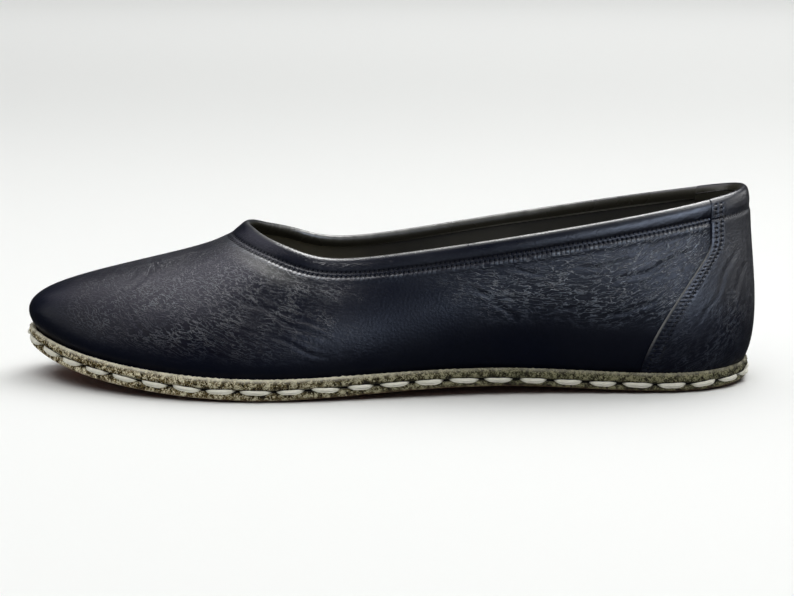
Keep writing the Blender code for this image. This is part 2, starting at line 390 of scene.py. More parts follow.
    def sole_inset(self, turn: Array, inset: float) -> Array:
        """Ring on the tread a fixed distance inside the edge.

        Args:
            turn: Turns from the heel back.
            inset: Distance inside the edge.

        Returns:
            Points of the ring.
        """
        edge = self.sole_edge(turn)
        reach = np.linalg.norm((edge - self.spine(turn))[..., :2], axis=-1)
        return self.tread(turn, edge - inset * self.outward(turn), 1.0 - inset / reach)

    def handles(self, turn: Array) -> tuple[Array, Array, Array, Array]:
        """Points that bend the wall; the handles lean out from the foot and away from the collar.

        Args:
            turn: Turns from the heel back.

        Returns:
            Foot, the foot's handle, the collar's handle, and the collar.
        """
        foot = self.sole_inset(turn, self.wall_inset) + (self.outsole_thick + self.gap) * UP
        across = self.around("top_outer", turn, "top_inner", -1.0)
        top = np.stack((self.around("top_along", turn), across, self.around("top_height", turn)), -1)
        away = unit((foot - top) * (1.0, 1.0, 0.0) + self.upright_reach * self.outward(turn))
        bulge, rise, reach, drop = (
            self.around(name, turn)[..., None] for name in ("bulge", "rise", "reach", "drop"))
        return foot, foot + self.outward(turn) * bulge + UP * rise, top + away * reach - UP * drop, top

    def wall(self, turn: Array, height: Array) -> Array:
        """Outer face of the upper: the cubic curve over the four handles.

        Args:
            turn: Turns from the heel back.
            height: Shares of the wall's height, 0 at the foot and 1 at the collar.

        Returns:
            Points of the wall.
        """
        foot, low, high, top = self.handles(turn)
        h = np.asarray(height)[..., None]
        return ((1 - h) ** 3 * foot + 3 * (1 - h) ** 2 * h * low
                + 3 * (1 - h) * h ** 2 * high + h ** 3 * top)

    def wall_normal(self, turn: Array, height: Array) -> Array:
        """Direction square out of the wall: rising slope crossed with level slope.

        Args:
            turn: Turns from the heel back.
            height: Shares of the wall's height.

        Returns:
            Directions of length 1.
        """
        level = self.wall(turn + STEP, height) - self.wall(turn - STEP, height)
        rising = self.wall(turn, height + STEP) - self.wall(turn, height - STEP)
        return unit(np.cross(rising, level))

    def below_rim(self, turn: Array, height: Array) -> Array:
        """Distance below the collar's edge, from the wall's speed at its top."""
        _, _, high, top = self.handles(turn)
        return (1.0 - np.asarray(height)) * 3.0 * np.linalg.norm(top - high, axis=-1)

    def height_below_rim(self, turn: Array, distance: Array | float) -> Array:
        """Share of the wall's height at a distance below the collar's edge."""
        _, _, high, top = self.handles(turn)
        return 1.0 - distance / (3.0 * np.linalg.norm(top - high, axis=-1))

    def counter_front(self, height: Array) -> Array:
        """Turns from the heel back to the counter's front edge: slanting, then upright.

        Below the knee it moves forward by slant times the depth less curve times its square; the
        depth below the knee is softened as the logarithm of one plus its exponential.

        Args:
            height: Shares of the wall's height.

        Returns:
            Turns, the same on both sides of the heel.
        """
        soft = self.counter_softness
        depth = soft * np.log1p(np.exp((self.counter_knee - np.asarray(height)) / soft))
        return self.counter_turn + self.counter_slant * depth - self.counter_curve * depth ** 2


# Finishes


@dataclass(frozen=True)
class NavyLeather:
    """Dyed calf leather with a soft sheen: near black where it turns down, grey-blue to the light.

    Its grain is fine, drying and wearing drew it into flat wrinkles along the shoe, and the fold of
    the collar is worn smooth by rubbing. Painted highlights pale its wrinkle crests, the lumps under
    the collar seam, the roll of the collar, a patch below the throat's seam and the counter's front edge.
    """

    navy: str = "060b1b"
    faded: str = "18161e"
    # Crest colour: a painted highlight on the wrinkles' crests and on the lumps under the seam, with some
    # greyish bloom of wear; wrinkle_tint and crackle_tint are its shares.
    crest: str = "6b7684"
    # Pale colour of the facing's cut edge, and of the painted highlights on the roll, below the throat's seam
    # and on the counter's front edge.
    edge: str = "dcdcd6"
    facing: str = "3a382e"
    roughness: float = 0.37
    roughness_spread: float = 0.14
    polish: float = 0.08
    specular: float = 0.5
    grain_mm: float = 0.8
    grain_depth_mm: float = 0.055
    wrinkle_mm: tuple[float, float] = (4.8, 1.35)
    wrinkle_depth_mm: float = 0.34
    wrinkle_tint: float = 0.9
    crackle_mm: tuple[float, float] = (4.8, 1.2)
    crackle_depth_mm: float = 0.075
    crackle_tint: float = 0.13
    crest_width: float = 0.048
    dulling: float = 0.65
    gleam: tuple[float, float] = (0.9, 2.7)
    valley_gleam: float = 0.62
    crackle_gleam: float = 0.42
    drift_mm: float = 7.0
    drift_reach_mm: tuple[float, float, float] = (6.0, 3.5, 0.0)
    patch_mm: float = 10.0
    patch_floor: float = 0.35
    blotch_mm: float = 22.0
    hole_depth_mm: float = 0.34
    hole_shine: float = 0.03
    lump_depth_mm: float = 0.22
    pucker_mm: float = 2.6

    def wrinkles(self, tree: Tree, place: Socket,
                 mask: Mapping[str, Socket]) -> tuple[Socket, Socket, Socket]:
        """Grain and wrinkles: crests where a noise drawn out along the flow passes its middle.

        Args:
            tree: Node tree to add to.
            place: Object coordinates.
            mask: Attributes by name.

        Returns:
            Height in metres, share of the crest colour (a painted highlight), and share of the crest's gleam.
        """
        flow = add_node(tree, "Attribute", {"attribute_name": "flow"}, {}).outputs["Vector"]
        drift = add_node(tree, "TexNoise", {}, {
            "Vector": place, "Scale": 1.0 / (self.drift_mm * MM), "Detail": 3.0}).outputs["Color"]
        shift = add_node(tree, "VectorMath", {"operation": "MULTIPLY_ADD"}, {
            0: drift, 1: [reach * MM for reach in self.drift_reach_mm], 2: flow}).outputs["Vector"]
        loose = add_node(tree, "TexNoise", {}, {
            "Vector": place, "Scale": 1.0 / (self.patch_mm * MM), "Detail": 2.0}).outputs["Fac"]
        loose = add_node(tree, "MapRange", {}, {
            "Value": loose, "From Min": 0.36, "From Max": 0.60, "To Min": self.patch_floor}).outputs["Result"]
        grain = add_node(tree, "TexVoronoi", {"feature": "SMOOTH_F1"}, {
            "Vector": place, "Scale": 1.0 / (self.grain_mm * MM)}).outputs["Distance"]
        total = add_node(tree, "Math", {"operation": "MULTIPLY"}, {
            0: grain, 1: -self.grain_depth_mm * MM}).outputs["Value"]
        crest, ridge = 0.0, 0.0
        for name, size, depth, tint, gleam in (
                ("wrinkle", self.wrinkle_mm, self.wrinkle_depth_mm, self.wrinkle_tint, 1.0),
                ("crackle", self.crackle_mm, self.crackle_depth_mm, self.crackle_tint, self.crackle_gleam)):
            scaled = add_node(tree, "VectorMath", {"operation": "MULTIPLY"}, {
                0: shift, 1: (1.0 / (size[0] * MM), 1.0 / (size[1] * MM), 1.0)}).outputs["Vector"]
            lines = add_node(tree, "TexNoise", {"noise_dimensions": "2D"}, {
                "Vector": scaled, "Scale": 1.0, "Detail": 3.0, "Roughness": 0.55}).outputs["Fac"]
            lines = add_node(tree, "Math", {"operation": "SUBTRACT"}, {0: lines, 1: 0.5}).outputs["Value"]
            lines = add_node(tree, "Math", {"operation": "ABSOLUTE"}, {0: lines}).outputs["Value"]
            puff = add_node(tree, "MapRange", {"interpolation_type": "SMOOTHSTEP"}, {
                "Value": lines, "From Min": self.crest_width, "From Max": 0.0}).outputs["Result"]
            share = add_node(tree, "Math", {"operation": "MULTIPLY"}, {
                0: loose, 1: mask[name]}).outputs["Value"]
            puff = add_node(tree, "Math", {"operation": "MULTIPLY"}, {0: puff, 1: share}).outputs["Value"]
            crest = add_node(tree, "Math", {"operation": "MULTIPLY_ADD"}, {
                0: puff, 1: tint, 2: crest}).outputs["Value"]
            bright = add_node(tree, "Math", {"operation": "MULTIPLY"}, {0: puff, 1: gleam}).outputs["Value"]
            ridge = add_node(tree, "Math", {"operation": "MAXIMUM"}, {0: bright, 1: ridge}).outputs["Value"]
            total = add_node(tree, "Math", {"operation": "MULTIPLY_ADD"}, {
                0: puff, 1: depth * MM, 2: total}).outputs["Value"]
        return total, crest, ridge

    def needle_marks(self, tree: Tree, place: Socket, mask: Mapping[str, Socket]) -> tuple[Socket, Socket]:
        """Needle holes and the lumps between them: masks times a cosine that peaks once per stitch.

        Args:
            tree: Node tree to add to.
            place: Object coordinates.
            mask: Attributes by name.

        Returns:
            Shares of hole and of lump.
        """
        turn = add_node(tree, "Math", {"operation": "MULTIPLY"}, {
            0: mask["stitch"], 1: 2.0 * math.pi}).outputs["Value"]
        wave = add_node(tree, "Math", {"operation": "COSINE"}, {0: turn}).outputs["Value"]
        wave = add_node(tree, "MapRange", {"interpolation_type": "SMOOTHSTEP"}, {
            "Value": wave, "From Min": -0.2, "From Max": 0.9}).outputs["Result"]
        hole = add_node(tree, "Math", {"operation": "MULTIPLY"}, {0: wave, 1: mask["seam"]}).outputs["Value"]
        lump = add_node(tree, "Math", {"operation": "SUBTRACT"}, {0: 1.0, 1: wave}).outputs["Value"]
        lump = add_node(tree, "Math", {"operation": "MULTIPLY"}, {0: lump, 1: mask["lump"]}).outputs["Value"]
        pucker = add_node(tree, "TexNoise", {}, {
            "Vector": place, "Scale": 1.0 / (self.pucker_mm * MM), "Detail": 2.0}).outputs["Fac"]
        pucker = add_node(tree, "MapRange", {}, {
            "Value": pucker, "From Min": 0.36, "From Max": 0.62, "To Max": 1.3}).outputs["Result"]
        lump = add_node(tree, "Math", {"operation": "MULTIPLY"}, {0: lump, 1: pucker}).outputs["Value"]
        return hole, lump

    def tone(self, tree: Tree, mask: Mapping[str, Socket], blotch: Socket, crest: Socket) -> Socket:
        """Colour: navy, faded in blotches, olive on the facing; paler on crests as a painted highlight,
        pale as a painted highlight on the roll, below the throat's seam and on the counter's edge, and pale
        along the facing's cut edge.

        Args:
            tree: Node tree to add to.
            mask: Attributes by name.
            blotch: Slow noise of the dye.
            crest: Share of the crest colour, a painted highlight.

        Returns:
            The colour.
        """
        share = add_node(tree, "Math", {"operation": "MULTIPLY"}, {
            0: blotch, 1: mask["crackle"]}).outputs["Value"]
        tone = linear(self.navy)
        for fac, colour in ((share, self.faded), (crest, self.crest), (mask["facing"], self.facing),
                            (mask["highlight_and_cut_edge"], self.edge)):
            tone = add_node(tree, "Mix", {"data_type": "RGBA"}, {
                0: fac, 6: tone, 7: linear(colour)}).outputs[2]
        return tone

    def shine(self, tree: Tree, mask: Mapping[str, Socket], ridge: Socket, hole: Socket) -> Socket:
        """Specular level: less where the leather is dull, more on crests than between them, none in holes.

        Args:
            tree: Node tree to add to.
            mask: Attributes by name.
            ridge: Share of the crest's gleam.
            hole: Share of needle hole.

        Returns:
            The specular level.
        """
        shine = add_node(tree, "MapRange", {}, {
            "Value": mask["dull"], "To Min": self.specular,
            "To Max": self.specular * (1.0 - self.dulling)}).outputs["Result"]
        valley = add_node(tree, "MapRange", {}, {
            "Value": mask["wrinkle"], "To Min": self.gleam[0], "To Max": self.valley_gleam}).outputs["Result"]
        gleam = add_node(tree, "MapRange", {}, {
            "Value": ridge, "To Min": valley, "To Max": self.gleam[1]}).outputs["Result"]
        shine = add_node(tree, "Math", {"operation": "MULTIPLY"}, {0: shine, 1: gleam}).outputs["Value"]
        return add_node(tree, "MapRange", {}, {
            "Value": hole, "To Min": shine, "To Max": self.hole_shine}).outputs["Result"]

    def material(self) -> Material:
        """Builds the node material.

        Returns:
            The new material.
        """
        made, tree, shader = new_material("navy_calf_leather")
        place = add_node(tree, "TexCoord", {}, {}).outputs["Object"]
        mask = {name: add_node(tree, "Attribute", {"attribute_name": name}, {}).outputs["Fac"] for name in (
            "wrinkle", "crackle", "highlight_and_cut_edge", "polish", "dull", "seam", "stitch", "lump", "facing")}
        height, crest, ridge = self.wrinkles(tree, place, mask)
        hole, lump = self.needle_marks(tree, place, mask)
        # The lumps under the seam take the crest colour too: a painted highlight.
        crest = add_node(tree, "Math", {"operation": "MAXIMUM"}, {0: lump, 1: crest}).outputs["Value"]
        for mark, depth in ((hole, -self.hole_depth_mm), (lump, self.lump_depth_mm)):
            height = add_node(tree, "Math", {"operation": "MULTIPLY_ADD"}, {
                0: mark, 1: depth * MM, 2: height}).outputs["Value"]
        bump = add_node(tree, "Bump", {}, {"Strength": 1.0, "Distance": 1.0, "Height": height})
        tree.links.new(bump.outputs["Normal"], shader.inputs["Normal"])
        blotch = add_node(tree, "TexNoise", {}, {
            "Vector": place, "Scale": 1.0 / (self.blotch_mm * MM), "Detail": 5.0}).outputs["Fac"]
        tree.links.new(self.tone(tree, mask, blotch, crest), shader.inputs["Base Color"])
        rough = add_node(tree, "MapRange", {}, {
            "Value": blotch, "From Min": 0.3, "From Max": 0.7,
            "To Min": self.roughness - 0.5 * self.roughness_spread,
            "To Max": self.roughness + 0.5 * self.roughness_spread}).outputs["Result"]
        rough = add_node(tree, "Math", {"operation": "MULTIPLY_ADD"}, {
            0: mask["polish"], 1: -self.polish, 2: rough}).outputs["Value"]
        tree.links.new(rough, shader.inputs["Roughness"])
        tree.links.new(self.shine(tree, mask, ridge, hole), shader.inputs["Specular IOR Level"])
        return made


@dataclass(frozen=True)
class LiningLeather:
    """Dark lining leather with its flesh side out: matt, charcoal, with a short nap."""

    dark: str = "3d3b34"
    light: str = "5a574d"
    # Pale tone of the lining towards the front: painted light falling into the shoe.
    vamp: str = "97927f"
    roughness: float = 0.78
    specular: float = 0.25
    nap_mm: float = 0.6
    nap_depth_mm: float = 0.05
    patch_mm: float = 14.0

    def material(self) -> Material:
        """Builds the node material.

        Returns:
            The new material.
        """
        made, tree, shader = new_material("lining_leather")
        place = add_node(tree, "TexCoord", {}, {}).outputs["Object"]
        nap = add_node(tree, "TexNoise", {}, {
            "Vector": place, "Scale": 1.0 / (self.nap_mm * MM), "Detail": 4.0}).outputs["Fac"]
        patch = add_node(tree, "TexNoise", {}, {
            "Vector": place, "Scale": 1.0 / (self.patch_mm * MM), "Detail": 3.0}).outputs["Fac"]
        tone = add_node(tree, "Mix", {"data_type": "RGBA"}, {
            0: patch, 6: linear(self.dark), 7: linear(self.light)}).outputs[2]
        # Painted light: paler towards the front.
        paler_forward = add_node(tree, "Attribute", {"attribute_name": "paler_forward"}, {}).outputs["Fac"]
        tone = add_node(tree, "Mix", {"data_type": "RGBA"}, {
            0: paler_forward, 6: tone, 7: linear(self.vamp)}).outputs[2]
        tree.links.new(tone, shader.inputs["Base Color"])
        bump = add_node(tree, "Bump", {}, {
            "Strength": 1.0, "Distance": self.nap_depth_mm * MM, "Height": nap})
        tree.links.new(bump.outputs["Normal"], shader.inputs["Normal"])
        shader.inputs["Roughness"].default_value = self.roughness
        shader.inputs["Specular IOR Level"].default_value = self.specular
        return made


@dataclass(frozen=True)
class RawLeather:
    """Cut edge of vegetable-tanned leather: rough, fibrous and without gloss.

    It is olive at the heel and golden at the toe, dark in the pits of its fibres, with a cream lip
    that is partly a painted highlight on its upward face, and painted shade in the groove at its foot.
    """

    deep: str = "2a2415"
    olive: str = "5a593f"
    gold: str = "86703c"
    dull_fibre: str = "9a9674"
    fibre: str = "fdf6d8"
    # Cream of the frayed lip, partly a painted highlight on its upward face.
    lip: str = "f8f2da"
    under: str = "6b4334"
    # Painted shade in the groove between rand and outsole and on the rand's hidden inner face.
    groove_shade: str = "14120c"
    roughness: float = 0.92
    fibre_mm: float = 0.95  # drawn coarser than real fibres, which would not show
    fibre_depth_mm: float = 0.7
    fleck_mm: float = 2.2
    fleck_share: float = 0.55
    specular: float = 0.2

    def material(self) -> Material:
        """Builds the node material.

        Returns:
            The new material.
        """
        made, tree, shader = new_material("raw_edge_leather")
        place = add_node(tree, "TexCoord", {}, {}).outputs["Object"]
        fibre = add_node(tree, "TexNoise", {}, {
            "Vector": place, "Scale": 1.0 / (self.fibre_mm * MM), "Detail": 5.0, "Roughness": 0.7,
            "Distortion": 1.2}).outputs["Fac"]
        fleck = add_node(tree, "TexNoise", {}, {
            "Vector": place, "Scale": 1.0 / (self.fleck_mm * MM), "Detail": 4.0}).outputs["Fac"]
        both = add_node(tree, "Math", {"operation": "MULTIPLY_ADD"}, {
            0: fleck, 1: self.fleck_share, 2: fibre}).outputs["Value"]
        low = add_node(tree, "MapRange", {"interpolation_type": "SMOOTHSTEP"}, {
            "Value": both, "From Min": 0.70, "From Max": 0.76}).outputs["Result"]
        high = add_node(tree, "MapRange", {"interpolation_type": "SMOOTHSTEP"}, {
            "Value": both, "From Min": 0.78, "From Max": 0.85}).outputs["Result"]
        warm = add_node(tree, "Attribute", {"attribute_name": "warm"}, {}).outputs["Fac"]
        body = add_node(tree, "Mix", {"data_type": "RGBA"}, {
            0: warm, 6: linear(self.olive), 7: linear(self.gold)}).outputs[2]
        tone = add_node(tree, "Mix", {"data_type": "RGBA"}, {
            0: low, 6: linear(self.deep), 7: body}).outputs[2]
        tuft = add_node(tree, "Mix", {"data_type": "RGBA"}, {
            0: warm, 6: linear(self.dull_fibre), 7: linear(self.fibre)}).outputs[2]
        tone = add_node(tree, "Mix", {"data_type": "RGBA"}, {0: high, 6: tone, 7: tuft}).outputs[2]
        # The lip's cream is partly a painted highlight; the last mix is painted shade in the groove.
        for mask, colour in (("lip", self.lip), ("under", self.under), ("groove_shade", self.groove_shade)):
            share = add_node(tree, "Attribute", {"attribute_name": mask}, {}).outputs["Fac"]
            tone = add_node(tree, "Mix", {"data_type": "RGBA"}, {
                0: share, 6: tone, 7: linear(colour)}).outputs[2]
        tree.links.new(tone, shader.inputs["Base Color"])
        bump = add_node(tree, "Bump", {}, {
            "Strength": 1.0, "Distance": self.fibre_depth_mm * MM, "Height": both})
        tree.links.new(bump.outputs["Normal"], shader.inputs["Normal"])
        shader.inputs["Roughness"].default_value = self.roughness
        shader.inputs["Specular IOR Level"].default_value = self.specular
        return made


@dataclass(frozen=True)
class Thread:
    """Twisted thread: waxed flax on the sole, fine dyed thread on the seams.

    Wax gives the flax a cream, slightly soft shine, and its twist shows as slanting strands.
    """

    name: str
    colour: str
    shade: str
    roughness: float
    strand_mm: float
    strand_depth_mm: float
    soil_mm: float = 1.8
    specular: float = 0.3

    def material(self) -> Material:
        """Builds the node material.

        Returns:
            The new material.
        """
        made, tree, shader = new_material(self.name)
        place = add_node(tree, "TexCoord", {}, {}).outputs["Object"]
        strand = add_node(tree, "Attribute", {"attribute_name": "strand"}, {}).outputs["Vector"]
        waves = add_node(tree, "TexWave", {"bands_direction": "DIAGONAL"}, {
            "Vector": strand, "Scale": 1.0 / (self.strand_mm * MM), "Distortion": 3.0, "Detail": 3.0,
            "Detail Scale": 1.5}).outputs["Fac"]
        soil = add_node(tree, "TexNoise", {}, {
            "Vector": place, "Scale": 1.0 / (self.soil_mm * MM), "Detail": 4.0}).outputs["Fac"]
        share = add_node(tree, "MapRange", {}, {
            "Value": soil, "From Min": 0.45, "From Max": 0.75, "To Max": 0.35}).outputs["Result"]
        tone = add_node(tree, "Mix", {"data_type": "RGBA"}, {
            0: share, 6: linear(self.colour), 7: linear(self.shade)}).outputs[2]
        tree.links.new(tone, shader.inputs["Base Color"])
        bump = add_node(tree, "Bump", {}, {
            "Strength": 1.0, "Distance": self.strand_depth_mm * MM, "Height": waves})
        tree.links.new(bump.outputs["Normal"], shader.inputs["Normal"])
        shader.inputs["Roughness"].default_value = self.roughness
        shader.inputs["Specular IOR Level"].default_value = self.specular
        return made


@dataclass(frozen=True)
class StudioPaper:
    """Matt white paper of a studio floor, with painted shade: a little greyer in a soft band behind the shoe.
    """

    white: str = "f1f2f0"
    # Greyer band behind the shoe: painted shade, darker paper where light falls off.
    band: str = "dddedc"
    band_back: float = 0.98
    band_half: float = 1.0
    roughness: float = 0.9
    specular: float = 0.1

    def material(self) -> Material:
        """Builds the node material.

        Returns:
            The new material.
        """
        made, tree, shader = new_material("studio_paper")
        place = add_node(tree, "TexCoord", {}, {}).outputs["Object"]
        back = add_node(tree, "SeparateXYZ", {}, {"Vector": place}).outputs["Y"]
        back = add_node(tree, "Math", {"operation": "ADD"}, {0: back, 1: self.band_back}).outputs["Value"]
        back = add_node(tree, "Math", {"operation": "ABSOLUTE"}, {0: back}).outputs["Value"]
        share = add_node(tree, "MapRange", {"interpolation_type": "SMOOTHSTEP"}, {
            "Value": back, "From Min": self.band_half, "From Max": 0.0}).outputs["Result"]
        tone = add_node(tree, "Mix", {"data_type": "RGBA"}, {
            0: share, 6: linear(self.white), 7: linear(self.band)}).outputs[2]
        tree.links.new(tone, shader.inputs["Base Color"])
        shader.inputs["Roughness"].default_value = self.roughness
        shader.inputs["Specular IOR Level"].default_value = self.specular
        return made


# Pieces


@dataclass
class Workshop:
    """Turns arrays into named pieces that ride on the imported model."""

    last: Last

    def add(self, name: str, points: Array, faces: Sequence[Sequence[int]], material: Material,
            slot: Slot, replaces: Sequence[str] = (), masks: Mapping[str, Array] | None = None) -> None:
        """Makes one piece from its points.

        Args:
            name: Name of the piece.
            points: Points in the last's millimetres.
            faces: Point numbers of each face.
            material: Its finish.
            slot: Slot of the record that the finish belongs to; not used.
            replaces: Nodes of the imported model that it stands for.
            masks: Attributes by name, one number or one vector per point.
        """
        mesh = bpy.data.meshes.new(name)
        places = (points.reshape(-1, 3) - self.last.origin) * MM
        mesh.from_pydata(places.tolist(), [], list(map(tuple, faces)))
        for mask, values in (masks or {}).items():
            vector = values.ndim > 1 and values.shape[-1] == 3
            kind, key = ("FLOAT_VECTOR", "vector") if vector else ("FLOAT", "value")
            layer = mesh.attributes.new(mask, kind, "POINT")
            layer.data.foreach_set(key, np.ascontiguousarray(values, dtype=np.float32).reshape(-1))
        mesh.shade_smooth()
        mesh.materials.append(material)
        piece = bpy.data.objects.new(name, mesh)
        bpy.context.scene.collection.objects.link(piece)
        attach(piece, BODY)
        if replaces:
            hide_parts(*replaces)
        LOG.info("%s: %d faces", name, len(mesh.polygons))


@dataclass(frozen=True)
class Crease:
    """A fold of the leather on the shoe's side: middle, run, tilt up towards the toe, and size."""

    along: float
    height: float
    length: float
    tilt: float
    width: float
    depth: float
    sway: float = 0.6
    sway_run: float = 3.1
    ridge_share: float = 0.45

    def fold(self, point: Array) -> Array:
        """Height of the leather along the fold: a bell-shaped trough with a low ridge on both sides.

        Its line sways with a sine of the run.

        Args:
            point: Points on the wall.

        Returns:
            Millimetres over the wall at each point.
        """
        c, s = math.cos(math.radians(self.tilt)), math.sin(math.radians(self.tilt))
        dx, dz = point[..., 0] - self.along, point[..., 2] - self.height
        run, off = dx * c + dz * s, dz * c - dx * s
        off = off + self.sway * np.sin(run / self.sway_run + self.along)
        reach = smooth(0.5, 0.15, np.abs(run) / self.length)
        trough = bell(off, 0.0, self.width)
        ridge = bell(np.abs(off), 2.0 * self.width, self.width)
        return self.depth * reach * (self.ridge_share * ridge - trough)


@dataclass
class Upper:
    """Leather wall with a rolled collar, and the lining inside it."""

    last: Last
    steps: int = 560
    outer_steps: int = 380
    wall_rings: int = 104
    band_rings: int = 30
    roll_rings: int = 12
    leather_thick: float = 1.3
    collar_thick: float = 2.9
    lining_face: float = 2.05
    band_width: float = 4.2
    band_crown: float = 1.7
    band_puff: float = 0.5
    band_crackle: float = 0.3
    roll_height: float = 1.55
    slope_step: float = 0.2
    tuck: float = 0.3
    # Painted highlight strengths: on the collar's roll, weaker on its inner side, and in a patch below the
    # throat's seam.
    highlight_strength: float = 1.0
    far_highlight: float = 0.35
    throat_highlight: float = 0.2
    vamp_fading: float = 0.65
    seam_rows: tuple[float, float] = (4.3, 5.7)
    seam_sink: float = 0.26
    seam_ridge: float = 0.26
    seam_pitch: float = 1.6
    fine_top: float = 9.5
    wall_height: float = 52.0
    back_top: float = 0.86
    back_rings: int = 14
    lining_rings: int = 46
    lining_drop: float = 1.6
    lining_back: float = 1.55
    cut_edge: float = 1.0
    flow_height: float = 62.0
    rear_slant: float = 62.0
    vamp_slant: float = 0.3
    vamp_start: float = 130.0
    waist_slant: float = 0.35
    waist: tuple[float, float] = (82.0, 114.0)
    waist_softness: float = 14.0
    uneven: tuple[float, float] = (0.10, 0.08)
    # From none to full, in millimetres along, over the floor, over the sole edge or below the rim;
    # the throat's in turns from the toe
    throat_turns: tuple[float, float] = (0.05, 0.12)
    wrinkle_along: tuple[float, float] = (118.0, 84.0)
    wrinkle_above: tuple[float, float] = (19.0, 33.0)
    wrinkle_growth: tuple[float, float] = (84.0, 50.0)
    wrinkle_front: float = 0.4
    crackle_back: tuple[float, float] = (116.0, 150.0)
    crackle_front: tuple[float, float] = (243.0, 226.0)
    crackle_above: tuple[float, float] = (9.0, 17.0)
    crackle_growth: tuple[float, float] = (150.0, 195.0)
    crackle_rear: float = 0.58
    lump_along: tuple[float, float] = (100.0, 70.0)
    polish_below: tuple[float, float] = (4.0, 0.0)
    waist_level: tuple[float, float] = (46.0, 34.0)
    low_waist_level: tuple[float, float] = (38.0, 26.0)
    foot_above: tuple[float, float] = (34.0, 15.0)
    vamp_front: tuple[float, float] = (210.0, 150.0)
    vamp_back: tuple[float, float] = (96.0, 124.0)
    vamp_level: tuple[float, float] = (42.0, 32.0)
    highlight_front: tuple[float, float] = (172.0, 160.0)
    highlight_back: tuple[float, float] = (40.0, 80.0)
    painted_lining_light: tuple[float, float] = (118.0, 160.0)
    # Middle and half width, in millimetres along
    waist_bell: tuple[float, float] = (122.0, 28.0)
    low_waist_bell: tuple[float, float] = (112.0, 42.0)
    throat_bell: tuple[float, float] = (166.0, 9.0)
    facing: tuple[tuple[float, float], ...] = (
        (1.0, 2.85), (1.9, 2.75), (2.5, 2.65), (2.75, 2.4), (2.8, 2.1), (2.7, 1.8), (4.5, 1.5))
    creases: tuple[Crease, ...] = (
        # Long slanting folds on the outside of the ball
        Crease(160.0, 27.0, 46.0, 24.0, 0.75, 0.16),
        Crease(165.0, 31.5, 22.0, 27.0, 0.65, 0.12),
        Crease(154.0, 18.0, 26.0, 20.0, 0.70, 0.13),
        Crease(149.0, 25.0, 18.0, 16.0, 0.65, 0.12),
        Crease(172.0, 24.0, 20.0, 8.0, 0.65, 0.10),
        Crease(184.0, 17.0, 16.0, 20.0, 0.70, 0.10),
        # Folds that turn round a hollow on the side of the toe
        Crease(211.0, 33.5, 13.0, -38.0, 0.70, 0.12),
        Crease(207.0, 37.0, 15.0, -30.0, 0.65, 0.10),
        Crease(209.0, 24.5, 17.0, 50.0, 0.70, 0.12),
        Crease(205.0, 20.0, 18.0, 44.0, 0.70, 0.10),
        # Wrinkles on the rear quarter, level in front and climbing to the counter
        Crease(92.0, 34.0, 15.0, 20.0, 0.75, 0.16),
        Crease(86.0, 29.0, 16.0, 30.0, 0.75, 0.15),
        Crease(64.0, 30.0, 14.0, -6.0, 0.70, 0.12),
        Crease(48.0, 27.0, 14.0, -18.0, 0.75, 0.15),
        Crease(41.0, 29.5, 17.0, -24.0, 0.75, 0.16),
        Crease(40.0, 41.0, 25.0, -20.0, 0.80, 0.18),
        Crease(29.0, 45.0, 21.0, -28.0, 0.75, 0.18),
        Crease(64.0, 47.5, 28.0, -3.0, 0.75, 0.15),
        Crease(51.0, 44.0, 27.0, -6.0, 0.75, 0.15),
        Crease(33.0, 51.5, 26.0, -10.0, 0.75, 0.15),
        Crease(78.0, 42.0, 22.0, 6.0, 0.70, 0.13),
    )

    def throat(self, turn: Array) -> Array:
        """0 at the middle of the throat and 1 away from it."""
        return smooth(*self.throat_turns, np.abs(np.asarray(turn) % 1.0 - 0.5))

    def band(self, turn: Array, height: Array) -> Array:
        """Puff of the band below the rim: a parabola, lower at the throat.

        Args:
            turn: Turns round the shoe.
            height: Shares of the wall's height.

        Returns:
            Millimetres over the last.
        """
        offset = self.last.below_rim(turn, height) - self.band_crown
        crown = 1.0 - (offset / (self.band_width - self.band_crown)) ** 2
        return self.band_puff * (0.3 + 0.7 * self.throat(turn)) * np.maximum(crown, 0.0)

    def relief(self, turn: Array, height: Array) -> Array:
        """Height of the leather over the last, in millimetres.

        It adds the puffed band, two sunk seam lines with a ridge under them, the listed
        creases and a slow unevenness. All but the band fade out under the heel counter.

        Args:
            turn: Turns round the shoe.
            height: Shares of the wall's height.

        Returns:
            The relief, with the shape of turn and height together.
        """
        below = self.last.below_rim(turn, height)
        point = self.last.wall(turn, height)
        puff = self.seam_ridge * self.throat(turn) * bell(below, self.seam_rows[1] + 1.5, 0.95)
        seams = sum(self.seam_sink * bell(below, row, 0.5) for row in self.seam_rows)
        slow = (self.uneven[0] * np.sin(point[..., 0] / 9.0 + 0.09 * point[..., 2] + 0.6)
                + self.uneven[1] * np.sin(point[..., 2] / 5.2 - point[..., 0] / 17.0 + point[..., 1] / 11.0))
        folds = sum(crease.fold(point) for crease in self.creases) * smooth(8.0, 10.0, below)
        front = self.last.counter_front(height)
        side = np.minimum(np.asarray(turn) % 1.0, 1.0 - np.asarray(turn) % 1.0)
        free = smooth(front - 0.004, front + 0.003, side)
        return self.band(turn, height) + free * (puff - seams + slow * smooth(4.0, 12.0, below) + folds)

    def skin(self, turn: Array, height: Array, lift: Array | float = 0.0) -> Array:
        """Leather surface: the last plus its relief, raised by lift."""
        rise = (self.relief(turn, height) + lift)[..., None]
        return self.last.wall(turn, height) + rise * self.last.wall_normal(turn, height)

